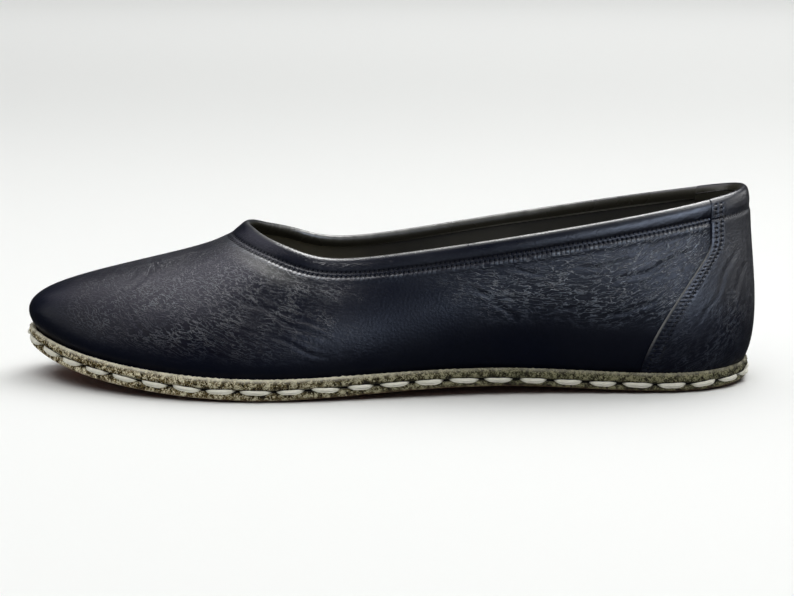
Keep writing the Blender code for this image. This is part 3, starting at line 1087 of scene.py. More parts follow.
    def rim(self, turn: Array, angle: Array, lift: Array | float = 0.0) -> Array:
        """Roll over the collar: an ellipse that carries on the band's slope and ends inside.

        Args:
            turn: Turns round the shoe.
            angle: From 0 at the band's top to half a turn at the facing.
            lift: Height over the leather, for the counter that lies on it.

        Returns:
            Points of the roll.
        """
        top = np.ones(np.shape(turn))
        out = self.relief(turn, top)
        near = self.last.height_below_rim(turn, self.slope_step)
        lean = np.arctan(self.roll_height * (self.relief(turn, near) - out) / self.slope_step)
        bend = lean + np.asarray(angle) * (1.0 - lean / math.pi)
        inner = self.collar_thick + lift
        radius = (inner + out + lift) / (1.0 + np.cos(lean))
        depth = inner - radius * (1.0 + np.cos(bend))
        rise = self.roll_height * radius * (np.sin(bend) - np.sin(lean))
        climb = unit(self.last.wall(turn, top) - self.last.wall(turn, top - STEP))
        point = self.last.wall(turn, top) - depth[..., None] * self.last.wall_normal(turn, top)
        return point + rise[..., None] * climb

    def inside(self, turn: Array, height: Array, depth: Array | float) -> Array:
        """Surface a fixed depth behind the last's wall."""
        back = np.asarray(depth)[..., None] * self.last.wall_normal(turn, height)
        return self.last.wall(turn, height) - back

    def heights(self) -> Array:
        """Shares of the wall's height for the outer rings.

        Returns:
            Shares from 0 to 1, closer together under the rim.
        """
        split = 1.0 - self.fine_top / self.wall_height
        return np.concatenate((np.linspace(0.0, split, self.wall_rings)[:-1],
                               np.linspace(split, 1.0, self.band_rings)))

    def flow(self, turn: Array, height: Array, along: Array) -> Array:
        """Coordinates that the wrinkles follow: along the girth, and up less the slant of their run.

        The slant grows as the square of the distance towards the heel, is even on the vamp, and
        rises between two soft corners at the waist.

        Args:
            turn: Turns of the points.
            height: Shares of the wall's height.
            along: Places of the points from heel to toe.

        Returns:
            Vectors in metres.
        """
        lift = np.asarray(height) * self.flow_height
        slant = 0.5 * np.maximum(0.0, self.rear_slant - along) ** 2 / self.rear_slant
        vamp = self.vamp_slant * np.maximum(along - self.vamp_start, 0.0)
        climb = lift - slant * smooth(70.0, 30.0, along) - vamp
        back, front = (0.5 * (off + np.hypot(off, self.waist_softness)) for off in (
            along - end for end in self.waist))
        climb = climb - self.waist_slant * (back - front)
        return np.stack((self.last.girth * np.asarray(turn), climb, 0.0 * lift), -1) * MM

    def dullness(self, along: Array, level: Array, above: Array, below: Array) -> Array:
        """Where the leather shines less: waist, foot of the wall, middle of the vamp, throat's band.

        Args:
            along: Places from heel to toe.
            level: Heights over the floor.
            above: Heights over the sole edge.
            below: Distances below the rim.

        Returns:
            Shares from 0 to 1.
        """
        waist = bell(along, *self.waist_bell) * smooth(*self.waist_level, level)
        low_waist = bell(along, *self.low_waist_bell) * smooth(*self.low_waist_level, level)
        foot = smooth(*self.foot_above, above)
        vamp = smooth(*self.vamp_front, along) * smooth(*self.vamp_back, along)
        vamp = self.vamp_fading * vamp * smooth(*self.vamp_level, level)
        throat = 0.8 * smooth(4.6, 3.8, below) * smooth(148.0, 164.0, along)
        return np.maximum.reduce((waist, low_waist, foot, vamp, throat))

    def masks(self, turn: Array, height: Array) -> dict[str, Array]:
        """Attributes that place the wrinkles and the painted highlights: where along the shoe and how high
        each lies.

        Args:
            turn: Turns of the points.
            height: Shares of the wall's height.

        Returns:
            Flow in metres; wrinkle, crackle, highlight_and_cut_edge (a painted highlight), facing, polish,
            dull, seam and lump from 0 to 1; stitch, which counts stitches along the rim.
        """
        point = self.last.wall(turn, height)
        along, level = point[..., 0], point[..., 2]
        below = self.last.below_rim(turn, height)
        above = level - self.last.around("lift_outer", turn, "lift_inner")
        free = smooth(self.seam_rows[1] + 0.4, self.seam_rows[1] + 2.0, below)
        grown = self.wrinkle_front + (1.0 - self.wrinkle_front) * smooth(*self.wrinkle_growth, along)
        wrinkle = smooth(*self.wrinkle_along, along) * smooth(*self.wrinkle_above, above) * free * grown
        grown = self.crackle_rear + (1.0 - self.crackle_rear) * smooth(*self.crackle_growth, along)
        crackle = smooth(*self.crackle_back, along) * smooth(*self.crackle_front, along)
        crackle = crackle * smooth(*self.crackle_above, above) * free * grown
        band = self.band_crackle * smooth(0.6, 1.4, below) * smooth(4.4, 3.6, below)
        crackle = np.maximum.reduce((crackle, band, 0.3 * wrinkle))
        seam = sum(bell(below, row, 0.34) for row in self.seam_rows)
        lump = 0.7 * bell(below, self.seam_rows[1] + 1.0, 0.5)
        lump = lump * (0.35 + 0.65 * smooth(*self.lump_along, along))
        # Painted highlight: a pale patch below the throat's seam, on the outer side only.
        patch = bell(along, *self.throat_bell) * bell(below, 8.2, 2.2) * (np.asarray(turn) < 0.5)
        return {"flow": self.flow(turn, height, along), "wrinkle": wrinkle, "crackle": crackle,
                "highlight_and_cut_edge": self.throat_highlight * patch, "facing": np.zeros(level.shape),
                "polish": smooth(*self.polish_below, below), "seam": seam, "lump": lump,
                "dull": self.dullness(along, level, above, below),
                "stitch": self.stitch_count(turn) + 0.5 * (below > sum(self.seam_rows) / 2.0)}

    def stitch_count(self, turn: Array) -> Array:
        """Stitches from the heel back to a turn: the run along the middle of both rows over the pitch.

        Args:
            turn: Turns round the shoe.

        Returns:
            Numbers of stitches, with their fractions.
        """
        fine = np.linspace(0.0, 1.0, 3001)
        path = self.last.wall(fine, self.last.height_below_rim(fine, sum(self.seam_rows) / 2.0))
        return np.interp(np.asarray(turn) % 1.0, fine, path_run(path)) / self.seam_pitch

    def build(self, shop: Workshop, leather: Material, lining: Material) -> None:
        """Builds the leather shell and its lining.

        Args:
            shop: Workshop that makes the pieces.
            leather: Finish of the shell.
            lining: Finish of the lining.
        """
        turn = np.concatenate((
            np.linspace(0.0, 0.5, self.outer_steps, endpoint=False),
            np.linspace(0.5, 1.0, self.steps - self.outer_steps, endpoint=False)))
        self.build_shell(shop, turn, leather)
        self.build_lining(shop, turn, lining)

    def roll_highlight(self, turn: Array) -> Array:
        """Share of the painted highlight on the roll: less at throat and heel, uneven, weaker on the inner
        side.

        Args:
            turn: Turns round the shoe.

        Returns:
            Shares from 0 to about 1.
        """
        along = self.last.around("top_along", turn)
        roll_highlight = 0.15 + 0.85 * smooth(*self.highlight_front, along)
        roll_highlight = roll_highlight * (0.3 + 0.7 * smooth(*self.highlight_back, along))
        roll_highlight = roll_highlight * (0.85 + 0.15 * ripple(turn, (30, 160), 5))
        return roll_highlight * np.where(turn < 0.5, 1.0, self.far_highlight)

    def build_shell(self, shop: Workshop, turn: Array, leather: Material) -> None:
        """Builds the leather wall: up its outer face, over the roll, down the facing and the back.

        Args:
            shop: Workshop that makes the piece.
            turn: Turns of the points of each ring.
            leather: Its finish.
        """
        heights = self.heights()
        grid_turn, grid_height = np.broadcast_arrays(turn[None, :], heights[:, None])
        outer = self.skin(grid_turn, grid_height)
        angles = np.linspace(0.0, math.pi, self.roll_rings + 2)[1:-1]
        front = self.last.counter_front(np.array(1.0))
        under = smooth(front + 0.001, front - 0.004, np.minimum(turn, 1.0 - turn))
        roll = self.rim(*np.broadcast_arrays(turn[None, :], angles[:, None]), -self.tuck * under[None, :])
        drops, depths = np.array(self.facing).T[:, :, None]
        facing = self.inside(
            np.broadcast_to(turn, (len(drops), self.steps)), self.last.height_below_rim(turn, drops), depths)
        back_heights = np.linspace(self.back_top, 0.0, self.back_rings)
        back = self.inside(*np.broadcast_arrays(turn[None, :], back_heights[:, None]), self.leather_thick)
        back[-1, :, 2] = outer[0, :, 2]
        rings = np.concatenate((outer, roll, facing, back))
        all_heights = np.concatenate((heights, np.ones(len(angles) + len(drops)), back_heights))
        masks = self.masks(*np.broadcast_arrays(turn[None, :], all_heights[:, None]))
        folded = slice(len(outer), len(outer) + len(roll))
        # Painted highlight along the crown of the roll, in the pale edge colour.
        crown = self.highlight_strength * bell(angles, 0.48 * math.pi, 0.75)
        masks["highlight_and_cut_edge"][folded] = crown[:, None] * self.roll_highlight(turn)[None, :]
        masks["facing"][folded] = smooth(0.5 * math.pi, 0.7 * math.pi, angles)[:, None]
        masks["facing"][folded.stop:] = 1.0
        edge = folded.stop + 2
        along = self.last.around("top_along", turn)
        masks["highlight_and_cut_edge"][edge:edge + 3] = self.cut_edge * smooth(150.0, 40.0, along) * smooth(12.0, 40.0, along)
        faces = ring_faces(len(rings), self.steps, True)
        shop.add("upper", rings, faces, leather, Slot.NAVY, ["upper"], masks)

    def build_lining(self, shop: Workshop, turn: Array, lining: Material) -> None:
        """Builds the lining: a coarse hidden face behind the leather, then the face that shows.

        Args:
            shop: Workshop that makes the piece.
            turn: Turns of the points of each ring.
            lining: Its finish.
        """
        heights = np.linspace(0.0, 1.0, self.lining_rings)[:, None]
        top = self.last.height_below_rim(turn, self.lining_drop)[None, :]
        grid_turn, grid_height = np.broadcast_arrays(turn[None, :], heights * top)
        hidden = self.inside(grid_turn[::9], grid_height[::9], self.lining_back)
        shown = self.inside(grid_turn, grid_height, self.lining_face)
        rings = np.concatenate((hidden, shown[::-1]))
        # Painted light on the lining, growing towards the front.
        masks = {"paler_forward": smooth(*self.painted_lining_light, rings[..., 0])}
        shop.add("lining", rings, ring_faces(len(rings), self.steps, True), lining, Slot.LINING, masks=masks)


@dataclass
class HeelCounter:
    """Back panel laid over the wall, folded thin over the rim, with a skived front edge."""

    last: Last
    upper: Upper
    columns: int = 150
    rows: int = 120
    thick: float = 1.15
    rim_thick: float = 0.12
    rim_fade: float = 7.0
    skive: float = 0.45
    skive_width: float = 2.0
    seam_rows: tuple[float, float] = (2.0, 4.3)
    top_row: float = 5.2
    sink: float = 0.28
    foot: float = 0.02
    rim_rows: int = 13
    inner_rows: int = 7
    inner_drop: float = 3.4
    clearance: float = 0.02
    # Strength of the painted highlight on the front edge.
    highlight_strength: float = 0.32
    wrinkle: float = 0.12
    crackle: float = 0.30
    creases: tuple[Crease, ...] = (
        # Steep folds beside the heel back
        Crease(10.0, 41.0, 18.0, -66.0, 0.80, 0.17),
        Crease(6.0, 36.0, 17.0, -64.0, 0.80, 0.15),
        Crease(14.0, 33.0, 15.0, -60.0, 0.75, 0.13),
        Crease(19.0, 26.0, 13.0, -48.0, 0.70, 0.11),
    )

    def grid(self) -> tuple[Array, Array, Array]:
        """Path over wall, rim and facing.

        Returns:
            Turns, height shares and rim angles of the grid: the angle is 0 on the wall, and past
            a half turn it counts millimetres down the facing.
        """
        wall = np.linspace(self.foot, 1.0, self.rows)
        rim = np.linspace(0.0, math.pi, self.rim_rows + 1)[1:]
        down = math.pi + np.linspace(0.0, self.inner_drop, self.inner_rows + 1)[1:]
        height = np.concatenate((wall, np.ones(len(rim) + len(down))))
        angle = np.concatenate((np.zeros(len(wall)), rim, down))
        share = np.linspace(-1.0, 1.0, self.columns)
        turn = self.last.counter_front(height)[:, None] * share[None, :]
        return turn, *(np.broadcast_to(a[:, None], turn.shape) for a in (height, angle))

    def lift(self, turn: Array, height: Array) -> Array:
        """Height of the panel over the last: thin at the rim, skived in front, sunk at its seams.

        Args:
            turn: Turns from the heel back, below 0 on the inner side.
            height: Shares of the wall's height.

        Returns:
            Millimetres over the last.
        """
        edge, below = self.edge_distance(turn, height), self.last.below_rim(turn, height)
        rise = self.rim_thick + (self.thick - self.rim_thick) * smooth(0.3, self.rim_fade, below)
        rise = rise * (1.0 - self.skive * smooth(self.skive_width, 0.0, edge))
        sunk = sum(bell(edge, row, 0.6) for row in self.seam_rows) + bell(below, self.top_row, 0.5)
        return rise - self.sink * np.minimum(sunk, 1.0) * smooth(0.5, 3.0, below)

    def surface(self, turn: Array, height: Array, angle: Array, lift: Array) -> Array:
        """Points over the upper, raised by lift: wall, then rim, then down inside.

        Args:
            turn: Turns from the heel back, below 0 on the inner side.
            height: Shares of the wall's height.
            angle: Rim angles, as the grid gives them.
            lift: Millimetres over the last.

        Returns:
            Points of the panel.
        """
        rise = (lift + self.upper.band(turn, height))[..., None]
        on_wall = self.last.wall(turn, height) + rise * self.last.wall_normal(turn, height)
        on_rim = self.upper.rim(turn, np.minimum(angle, math.pi), lift)
        drop = np.maximum(angle - math.pi, 0.0)
        depth = self.upper.collar_thick + lift
        inside = self.upper.inside(turn, self.last.height_below_rim(turn, drop), depth)
        rim, down = (angle > 0.0)[..., None], (angle > math.pi)[..., None]
        return np.where(down, inside, np.where(rim, on_rim, on_wall))

    def edge_distance(self, turn: Array, height: Array) -> Array:
        """Level distance from the front edge: the turns between, times the wall's speed there.

        Args:
            turn: Turns from the heel back, below 0 on the inner side.
            height: Shares of the wall's height.

        Returns:
            Millimetres behind the edge.
        """
        front = self.last.counter_front(height)
        speed = self.last.wall(front + STEP, height) - self.last.wall(front - STEP, height)
        return (front - np.abs(turn)) * np.linalg.norm(speed, axis=-1) / (2.0 * STEP)

    def edge_run(self, height: Array) -> Array:
        """Length of the front edge up to a height.

        Args:
            height: Shares of the wall's height.

        Returns:
            Millimetres from the edge's foot.
        """
        fine = np.linspace(0.0, 1.0, 1001)
        path = self.last.wall(self.last.counter_front(fine), fine)
        return np.interp(height, fine, path_run(path))

    def build(self, shop: Workshop, leather: Material) -> None:
        """Builds the panel.

        Args:
            shop: Workshop that makes the piece.
            leather: Its finish.
        """
        turn, height, angle = self.grid()
        edge, below = self.edge_distance(turn, height), self.last.below_rim(turn, height)
        folds = sum(crease.fold(self.last.wall(turn, height)) for crease in self.creases)
        outer = self.surface(turn, height, angle, self.lift(turn, height) + folds * smooth(6.0, 9.0, edge))
        inner = self.surface(turn, height, angle, np.full(turn.shape, self.clearance))
        points = np.concatenate((outer.reshape(-1, 3), inner.reshape(-1, 3)))
        masks = self.upper.masks(turn, height)
        masks["wrinkle"] = self.wrinkle * smooth(0.95, 0.7, height)
        masks["crackle"] = self.crackle * (angle == 0.0)
        masks["lump"] = 0.0 * turn
        masks["facing"] = smooth(0.5 * math.pi, 0.7 * math.pi, angle)
        # Painted highlight on the front edge, between a low and a high height.
        upright = smooth(0.80, 0.70, height) * smooth(0.15, 0.4, height)
        masks["highlight_and_cut_edge"] = self.highlight_strength * smooth(0.45, 0.0, edge) * upright
        rows = sum(bell(edge, row, 0.5) for row in self.seam_rows) + bell(below, self.top_row, 0.45)
        masks["seam"] = np.minimum(rows, 1.0) * (angle == 0.0)
        across = np.where(edge < self.seam_rows[1] + 1.2, self.edge_run(height), self.last.girth * turn)
        masks["stitch"] = across / self.upper.seam_pitch
        masks = {name: np.concatenate((m.reshape(-1, *m.shape[2:]),) * 2) for name, m in masks.items()}
        faces = slab_faces(*turn.shape)
        shop.add("heel_counter", points, faces, leather, Slot.NAVY, ["heel_counter"], masks)


@dataclass
class Stitching:
    """A row of stitches along a path: beads that dip into the leather at both ends."""

    length: float
    pitch: float
    thick: float
    proud: float
    dip: float
    bow: float = 0.0
    flat: float = 0.8
    taper: float = 2.6
    twist: float = 0.0
    shift: float = 0.0
    along: int = 8
    round: int = 6
    ply_swell: float = 0.10
    length_spread: float = 0.05
    bow_spread: float = 0.25
    tilt_spread: float = 0.10
    thick_spread: float = 0.06

    def beads(self, path: Array, out: Array, closed: bool, jitter: int = 0,
              count: int = 0) -> tuple[Array, Array, Array]:
        """Stitches at even steps along a path.

        Along each stitch q runs from -1 to 1. Its radius bulges with one minus q to the power of
        taper, it dips inwards with q to the fourth and hangs down with one minus q squared. Two plies
        turn round it by twist.

        Args:
            path: Points along the seam.
            out: Directions square out of the surface at those points.
            closed: Whether the path closes on itself.
            jitter: Seed that makes the stitches differ, 0 for none.
            count: Number of stitches, 0 for as many as the pitch gives.

        Returns:
            Points, faces and strand coordinates in metres.
        """
        if closed:
            path, out = np.vstack((path, path[:1])), np.vstack((out, out[:1]))
        run = path_run(path)
        count = count or max(2, round(run[-1] / self.pitch))
        centre = (np.arange(count) + 0.5 + self.shift) * run[-1] / count
        draw = np.random.default_rng(SEED + jitter)
        wild = draw.normal(0.0, 1.0 if jitter else 0.0, (4, count))
        size = self.length * (1.0 + self.length_spread * wild[0])
        q = np.linspace(-1.0, 1.0, self.along)
        spot = centre[:, None] + 0.5 * size[:, None] * q[None, :]
        spot = spot % run[-1] if closed else np.clip(spot, 0.0, run[-1])
        line, normal = along_path(spot, run, path), unit(along_path(spot, run, out))
        ahead = unit(np.gradient(line, axis=1))
        across = unit(np.cross(normal, ahead))
        across = np.where(across[..., 2:] < 0.0, -across, across)
        lift = self.proud - self.dip * q ** 4
        hang = -self.bow * (1.0 - q ** 2)[None, :] * (1.0 + self.bow_spread * wild[1])[:, None]
        hang = hang + self.tilt_spread * self.thick * wild[2][:, None] * q[None, :]
        line = line + normal * lift[None, :, None] + across * hang[..., None]
        radius = 0.5 * self.thick * np.maximum(1.0 - np.abs(q) ** self.taper, 0.0) ** 0.7
        radius = radius[None, :] * (1.0 + self.thick_spread * wild[3])[:, None]
        angle = np.linspace(0.0, 2.0 * math.pi, self.round, endpoint=False)
        ply = np.cos(2.0 * (angle[None, None, :] - self.twist * q[None, :, None])) * (self.twist > 0.0)
        ring = radius[:, :, None] * (1.0 + self.ply_swell * ply)
        points = (line[:, :, None, :]
                  + (ring * np.cos(angle) * self.flat)[..., None] * normal[:, :, None, :]
                  + (ring * np.sin(angle))[..., None] * across[:, :, None, :])
        strand = np.stack(np.broadcast_arrays(
            spot[:, :, None], 0.5 * self.thick * angle[None, None, :], np.zeros((1, 1, 1))), -1) * MM
        cells = ring_faces(self.along, self.round, False)
        shifts = np.arange(count)[:, None, None] * (self.along * self.round)
        return points.reshape(-1, 3), (cells[None] + shifts).reshape(-1, 4), strand.reshape(-1, 3)


@dataclass
class Seams:
    """Fine seams: two rows under the collar, two along each edge of the counter, one on its top."""

    last: Last
    upper: Upper
    counter: HeelCounter
    stitch: Stitching = field(default_factory=lambda: Stitching(1.25, 1.6, 0.5, -0.04, 0.45))
    counter_foot: float = 0.10
    counter_top: float = 0.985
    top_end: float = 0.006

    def build(self, shop: Workshop, thread: Material) -> None:
        """Builds the seam rows as one joined piece.

        Args:
            shop: Workshop that makes the piece.
            thread: Dyed thread of the seams.
        """
        parts = []
        front = float(self.last.counter_front(np.array(0.9)))
        turn = np.linspace(front, 1.0 - front, 3000)
        made = self.upper.stitch_count(turn)
        first, final = math.ceil(made[0]), math.floor(made[-1])
        for row, stagger in zip(self.upper.seam_rows, (0.0, 0.5)):
            place = np.interp(np.linspace(first + stagger, final - stagger, 1200), made, turn)
            height = self.last.height_below_rim(place, row)
            path, out = self.upper.skin(place, height), self.last.wall_normal(place, height)
            parts.append(self.stitch.beads(path, out, False, count=round(final - first - 2 * stagger)))
        height = np.linspace(self.counter_foot, self.counter_top, 400)
        edge = self.last.counter_front(height)
        step = self.last.wall(edge + STEP, height) - self.last.wall(edge - STEP, height)
        speed = np.linalg.norm(step, axis=-1) / (2.0 * STEP)
        lines = [(side * (edge - row / speed), height)
                 for side in (1.0, -1.0) for row in self.counter.seam_rows]
        turn = np.linspace(self.top_end - front, front - self.top_end, 300)
        lines.append((turn, self.last.height_below_rim(turn, self.counter.top_row)))
        for turn, height in lines:
            out = self.last.wall_normal(turn, height)
            rise = self.counter.lift(turn, height) + self.upper.band(turn, height)
            path = self.last.wall(turn, height) + rise[:, None] * out
            parts.append(self.stitch.beads(path, out, False))
        starts = np.cumsum([0] + [len(points) for points, _, _ in parts[:-1]])
        points = np.concatenate([points for points, _, _ in parts])
        faces = np.concatenate([faces + start for (_, faces, _), start in zip(parts, starts)])
        strand = np.concatenate([strand for _, _, strand in parts])
        shop.add("seam_thread", points, faces, thread, Slot.NAVY, masks={"strand": strand})


@dataclass
class Sole:
    """Outsole, rand and insole, with the thick thread that sews the first two together."""

    last: Last
    steps: int = 1200
    stitch: Stitching = field(default_factory=lambda: Stitching(
        9.9, 11.7, 1.8, 0.5, 1.6, bow=0.16, flat=0.75, taper=2.0, twist=2.2, shift=0.4, along=26, round=16))
    groove_heel: float = 2.05
    groove_ball: float = 2.8
    groove_depth: float = 1.5
    hole_depth: float = 0.8
    scallop: float = 0.12
    thread_rise: float = 0.25
    groove_climb: tuple[float, float] = (60.0, 150.0)
    golden: tuple[float, float] = (70.0, 235.0)
    lip_paling: tuple[float, float] = (105.0, 150.0)
    insole_steps: int = 480
    insole_gap: float = 0.1
    insole_inset: float = 2.15

    def phase(self, turn: Array) -> Array:
        """1 in the gaps between stitches and 0 at each stitch's middle: a raised cosine of the run.

        Args:
            turn: Turns from the heel back.

        Returns:
            Shares from 0 to 1.
        """
        fine = np.linspace(0.0, 1.0, 4001)
        run = path_run(self.last.sole_edge(fine))
        count = round(run[-1] / self.stitch.pitch)
        place = np.interp(np.asarray(turn) % 1.0, fine, run) / run[-1] * count
        return 0.5 + 0.5 * np.cos(2.0 * math.pi * (place - self.stitch.shift))

    def groove(self, turn: Array) -> Array:
        """Height of the groove over the sole edge: lower at the heel than at the ball."""
        share = smooth(*self.groove_climb, self.last.sole_edge(turn)[..., 0])
        return self.groove_heel + (self.groove_ball - self.groove_heel) * share

    def warm(self, turn: Array) -> Array:
        """Share of golden fibres, from 0 at the heel to 1 at the toe."""
        return smooth(*self.golden, self.last.sole_edge(turn)[..., 0])

    def band_point(self, turn: Array, out: Array | float, up: Array | float) -> Array:
        """Point beside the sole edge: out from it and up from it, in millimetres."""
        return (self.last.sole_edge(turn) + np.asarray(out)[..., None] * self.last.outward(turn)
                + np.asarray(up)[..., None] * UP)

    def build(self, shop: Workshop, raw: Material, lining: Material,
              thread: Material) -> None:
        """Builds the four pieces.

        Args:
            shop: Workshop that makes the pieces.
            raw: Finish of rand and outsole.
            lining: Finish of the insole.
            thread: Finish of the thick stitches.
        """
        self.build_rand(shop, raw)
        self.build_outsole(shop, raw)
        self.build_insole(shop, lining)
        self.build_thread(shop, thread)

    def build_rand(self, shop: Workshop, raw: Material) -> None:
        """Strip round the wall: a fibrous outer face, a frayed lip and a groove at its foot.

        Its profile, carried along the sole edge, has rows of out, up, roughness, lip and painted groove
        shade.

        Args:
            shop: Workshop that makes the piece.
            raw: Its finish.
        """
        turn = np.arange(self.steps) / self.steps
        band = self.last.around("band", turn)
        gap = self.phase(turn)
        fray = ripple(turn, (120, 420), 1)
        sway = ripple(turn, (14, 60), 2)
        depth = self.groove_depth + self.hole_depth * gap ** 3
        low = self.groove(turn) + 0.35
        span = band - low
        profile = (
            (-depth, low - 0.2, 0.0, 0.0, 1.0),
            (-0.6 * depth, low + 0.0, 0.05, 0.0, 0.95),
            (-0.2, low + 0.14 * span, 0.10, 0.0, 0.55),
            (0.10, low + 0.30 * span, 0.15, 0.0, 0.12),
            (0.18, low + 0.45 * span, 0.16, 0.0, 0.0),
            (0.18, low + 0.60 * span, 0.16, 0.0, 0.0),
            (0.10, low + 0.76 * span, 0.16, 0.2, 0.0),
            (-0.08, low + 0.90 * span, 0.15, 0.8, 0.0),
            (-0.38, band + 0.05, 0.13, 1.0, 0.0),
            (-0.85, band + 0.0, 0.12, 0.8, 0.0),
            (-1.5, band - 0.35, 0.08, 0.3, 0.0),
            (-2.2, band - 1.1, 0.03, 0.0, 0.5),
            (-2.6, low + 0.5, 0.0, 0.0, 1.0),
            (-2.6, low - 0.1, 0.0, 0.0, 1.0),
        )
        rings, lip, groove_shade = [], [], []
        for k, (out, up, rough, tint, dark) in enumerate(profile):
            own = ripple(turn, (150, 560), 10 + k)
            rings.append(self.band_point(turn, out + rough * (0.5 * fray + 0.9 * own + 0.3 * sway),
                                         up + 0.8 * rough * own))
            lip.append(np.full(self.steps, tint))
            groove_shade.append(np.full(self.steps, dark))
        # The lip is paler forward of the waist; its paleness is partly a painted highlight.
        paler_forward = 0.3 + 0.7 * smooth(*self.lip_paling, self.last.sole_edge(turn)[..., 0])
        lip = np.stack(lip) * (paler_forward * (0.95 + 0.2 * ripple(turn, (20, 90), 3)))[None, :]
        warm = np.broadcast_to(self.warm(turn), (len(rings), self.steps))
        masks = {"lip": np.clip(lip, 0.0, 1.0), "groove_shade": np.stack(groove_shade), "warm": warm}
        faces = ring_faces(len(rings), self.steps, True)
        shop.add("rand", np.stack(rings), faces, raw, Slot.RAW, ["rand"], masks)

    def build_outsole(self, shop: Workshop, raw: Material) -> None:
        """Thin sole whose upper edge is pressed down by each stitch and stands up between them.

        Its profile, carried along the sole edge, has rows of out, up, roughness, underside and painted groove
        shade.

        Args:
            shop: Workshop that makes the piece.
            raw: Its finish.
        """
        turn = np.arange(self.steps) / self.steps
        gap = self.phase(turn)
        depth = self.groove_depth + self.hole_depth * gap ** 3
        groove = self.groove(turn)
        crest = groove - 0.25 + self.scallop * (2.0 * gap - 1.0)
        swell = 0.08 * gap
        rings = [self.last.sole_share(turn, share) for share in (0.3, 0.55, 0.7, 0.82, 0.9)]
        under = [np.full(self.steps, 1.0)] * len(rings)
        groove_shade = [np.zeros(self.steps)] * len(rings)
        profile = (
            (-1.1, 0.02, 0.0, 1.0, 0.0),
            (-0.45, 0.10, 0.03, 0.6, 0.0),
            (-0.05, 0.45, 0.06, 0.1, 0.0),
            (0.08 + swell, 0.42 * crest + 0.3, 0.08, 0.0, 0.0),
            (0.02 + swell, 0.78 * crest, 0.09, 0.0, 0.1),
            (-0.35 + swell, crest, 0.08, 0.0, 0.35),
            (-0.7 * depth, crest + 0.05, 0.04, 0.0, 0.9),
            (-depth, groove, 0.0, 0.0, 1.0),
        )
        for k, (out, up, rough, tint, dark) in enumerate(profile):
            own = ripple(turn, (150, 480), 40 + k)
            rings.append(self.band_point(turn, out + rough * own, up + 0.6 * rough * own))
            under.append(np.full(self.steps, tint))
            groove_shade.append(np.full(self.steps, dark))
        for share in (0.9, 0.82, 0.7, 0.55, 0.3):
            rings.append(self.last.sole_share(turn, share) + (self.last.outsole_thick - 0.2) * UP)
            under.append(np.ones(self.steps))
            groove_shade.append(np.zeros(self.steps))
        faces = list(map(tuple, ring_faces(len(rings), self.steps, False)))
        faces += zip_faces(0, self.steps, False) + zip_faces((len(rings) - 1) * self.steps, self.steps, True)
        warm = np.broadcast_to(self.warm(turn), (len(rings), self.steps))
        masks = {"under": np.stack(under), "groove_shade": np.stack(groove_shade), "warm": warm}
        shop.add("outsole", np.stack(rings), faces, raw, Slot.SOLE, ["outsole"], masks)

    def build_insole(self, shop: Workshop, lining: Material) -> None:
        """Inner sole: a soft sheet with a rounded edge, slightly dished under heel and ball.

        Args:
            shop: Workshop that makes the piece.
            lining: Its finish.
        """
        steps = self.insole_steps
        turn = np.arange(steps) / steps
        base = self.last.outsole_thick + self.insole_gap
        inset = self.last.wall_inset + self.insole_inset
        rings = [self.last.sole_share(turn, share) + base * UP for share in (0.3, 0.55)]
        rings += [self.last.sole_inset(turn, inset + 0.4) + base * UP]
        for back, up in ((0.0, 0.5), (0.0, 1.4), (0.5, 2.1), (1.6, 2.45), (3.5, 2.5)):
            rings.append(self.last.sole_inset(turn, inset + back) + (base + up) * UP)
        for share, up in ((0.62, 2.35), (0.45, 2.2), (0.3, 2.1)):
            rings.append(self.last.sole_share(turn, share) + (base + up) * UP)
        faces = list(map(tuple, ring_faces(len(rings), steps, False)))
        faces += zip_faces(0, steps, False) + zip_faces((len(rings) - 1) * steps, steps, True)
        shop.add("insole", np.stack(rings), faces, lining, Slot.LINING, ["insole"])

    def build_thread(self, shop: Workshop, thread: Material) -> None:
        """Thick stitches that lie in the groove between rand and outsole.

        Args:
            shop: Workshop that makes the piece.
            thread: Its finish.
        """
        turn = np.linspace(0.0, 1.0, 4000, endpoint=False)
        path = self.band_point(turn, np.zeros(len(turn)), self.groove(turn) + self.thread_rise)
        points, faces, strand = self.stitch.beads(path, self.last.outward(turn), True, jitter=5)
        shop.add("sole_thread", points, faces, thread, Slot.THREAD, masks={"strand": strand})


class Glow(Enum):
    """What a lamp lights: matt surfaces and shadows, or only the shine of polished ones."""

    WASH = "wash"
    GLINT = "glint"


@dataclass(frozen=True)
class Softbox:
    """Rectangular lamp: place, size, brightness and tint of its face, and what it lights."""

    name: str
    place: tuple[float, float, float]
    size: tuple[float, float]
    brightness: float
    glow: Glow
    tint: str = "ffffff"

    def add(self, target: tuple[float, float, float]) -> None:
        """Adds the lamp, turned to its target; power is brightness times pi times area.

        Args:
            target: Place that the lamp faces.
        """
        light = bpy.data.lights.new(self.name, "AREA")
        light.shape = "RECTANGLE"
        light.color = linear(self.tint)[:3]
        light.size, light.size_y = self.size
        light.energy = self.brightness * math.pi * self.size[0] * self.size[1]
        lamp = bpy.data.objects.new(self.name, light)
        lamp.location = self.place
        lamp.rotation_euler = (Vector(target) - Vector(self.place)).to_track_quat("-Z", "Y").to_euler()
        lamp.visible_diffuse = self.glow is Glow.WASH
        lamp.visible_glossy = self.glow is Glow.GLINT
        bpy.context.scene.collection.objects.link(lamp)


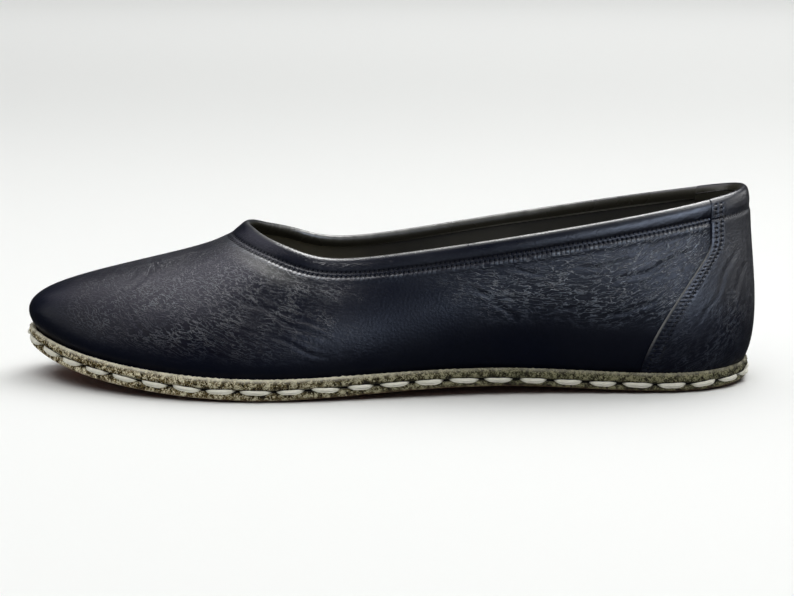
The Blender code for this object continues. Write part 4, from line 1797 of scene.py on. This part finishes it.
@dataclass
class Studio:
    """Pale floor, a soft ceiling and front fill, glint lamps, and the camera at the picture's angle."""

    elevation: float = 10.0
    distance: float = 0.9
    aim: tuple[float, float, float] = (-0.0016, -0.001, 0.0273)
    lens: float = 117.9
    floor_size: float = 12.0
    sky: str = "eef0f2"
    sky_strength: float = 0.05
    lamp_target: tuple[float, float, float] = (0.0, 0.0, 0.04)
    lamps: tuple[Softbox, ...] = (
        Softbox("ceiling", (-0.2, -1.0, 2.6), (5.0, 5.0), 1.17, Glow.WASH),
        Softbox("key", (-0.7, -0.8, 1.7), (1.4, 1.4), 2.6, Glow.WASH),
        Softbox("front_fill", (0.2, 1.5, 2.3), (2.5, 1.8), 1.75, Glow.WASH),
        Softbox("vamp_glint", (1.11, -0.28, 1.64), (1.9, 1.3), 1.75, Glow.GLINT, "f3efff"),
        Softbox("toe_glint", (1.9, 0.25, 0.75), (1.2, 1.2), 1.8, Glow.GLINT),
        Softbox("rim_glint", (-0.35, -0.55, 1.45), (1.1, 0.9), 16.0, Glow.GLINT),
        Softbox("band_glint", (-1.0, 0.25, 1.35), (0.9, 0.8), 7.0, Glow.GLINT),
        Softbox("quarter_glint", (-1.3, 2.0, 0.95), (1.8, 0.75), 11.0, Glow.GLINT, "d6e5ff"),
        Softbox("heel_glint", (-2.17, -0.38, 0.75), (2.6, 0.9), 2.6, Glow.GLINT),
    )

    def floor(self, paper: Material) -> None:
        """Flat floor at the height the sole stands on; it does not show in the leather's shine.

        Args:
            paper: Its finish.
        """
        half = 0.5 * self.floor_size
        mesh = bpy.data.meshes.new("floor")
        mesh.from_pydata([(-half, -half, 0.0), (half, -half, 0.0), (half, half, 0.0), (-half, half, 0.0)],
                         [], [(0, 1, 2, 3)])
        mesh.materials.append(paper)
        plane = bpy.data.objects.new("floor", mesh)
        plane.visible_glossy = False
        bpy.context.scene.collection.objects.link(plane)

    def build(self, paper: Material) -> None:
        """Sets floor, lamps, sky and camera.

        Args:
            paper: Finish of the floor.
        """
        scene = bpy.context.scene
        scene.view_settings.view_transform = "Standard"
        self.floor(paper)
        for softbox in self.lamps:
            softbox.add(self.lamp_target)
        world = bpy.data.worlds.new("studio")
        world.use_nodes = True
        sky = world.node_tree.nodes["Background"]
        sky.inputs["Color"].default_value = linear(self.sky)
        sky.inputs["Strength"].default_value = self.sky_strength
        scene.world = world
        lens = bpy.data.cameras.new("camera")
        lens.lens = self.lens
        lens.clip_start = 0.01
        camera = bpy.data.objects.new("camera", lens)
        angle = math.radians(self.elevation)
        back = Vector((0.0, math.cos(angle), math.sin(angle)))
        camera.location = Vector(self.aim) + self.distance * back
        camera.rotation_euler = (-back).to_track_quat("-Z", "Y").to_euler()
        scene.collection.objects.link(camera)
        scene.camera = camera


def main() -> None:
    """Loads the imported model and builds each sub-assembly."""
    logging.basicConfig(level=logging.INFO, format="%(message)s")
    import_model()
    last = Last()
    shop = Workshop(last)
    leather = NavyLeather().material()
    lining = LiningLeather().material()
    raw = RawLeather().material()
    flax = Thread("waxed_flax_thread", "fbf8e9", "d6cfb2", 0.62, 0.9, 0.10).material()
    dyed = Thread("dyed_seam_thread", "06070a", "101217", 0.55, 0.5, 0.04).material()

    upper = Upper(last)
    upper.build(shop, leather, lining)
    counter = HeelCounter(last, upper)
    counter.build(shop, leather)
    Seams(last, upper, counter).build(shop, dyed)
    Sole(last).build(shop, raw, lining, flax)
    Studio().build(StudioPaper().material())


if __name__ == "__main__":
    main()
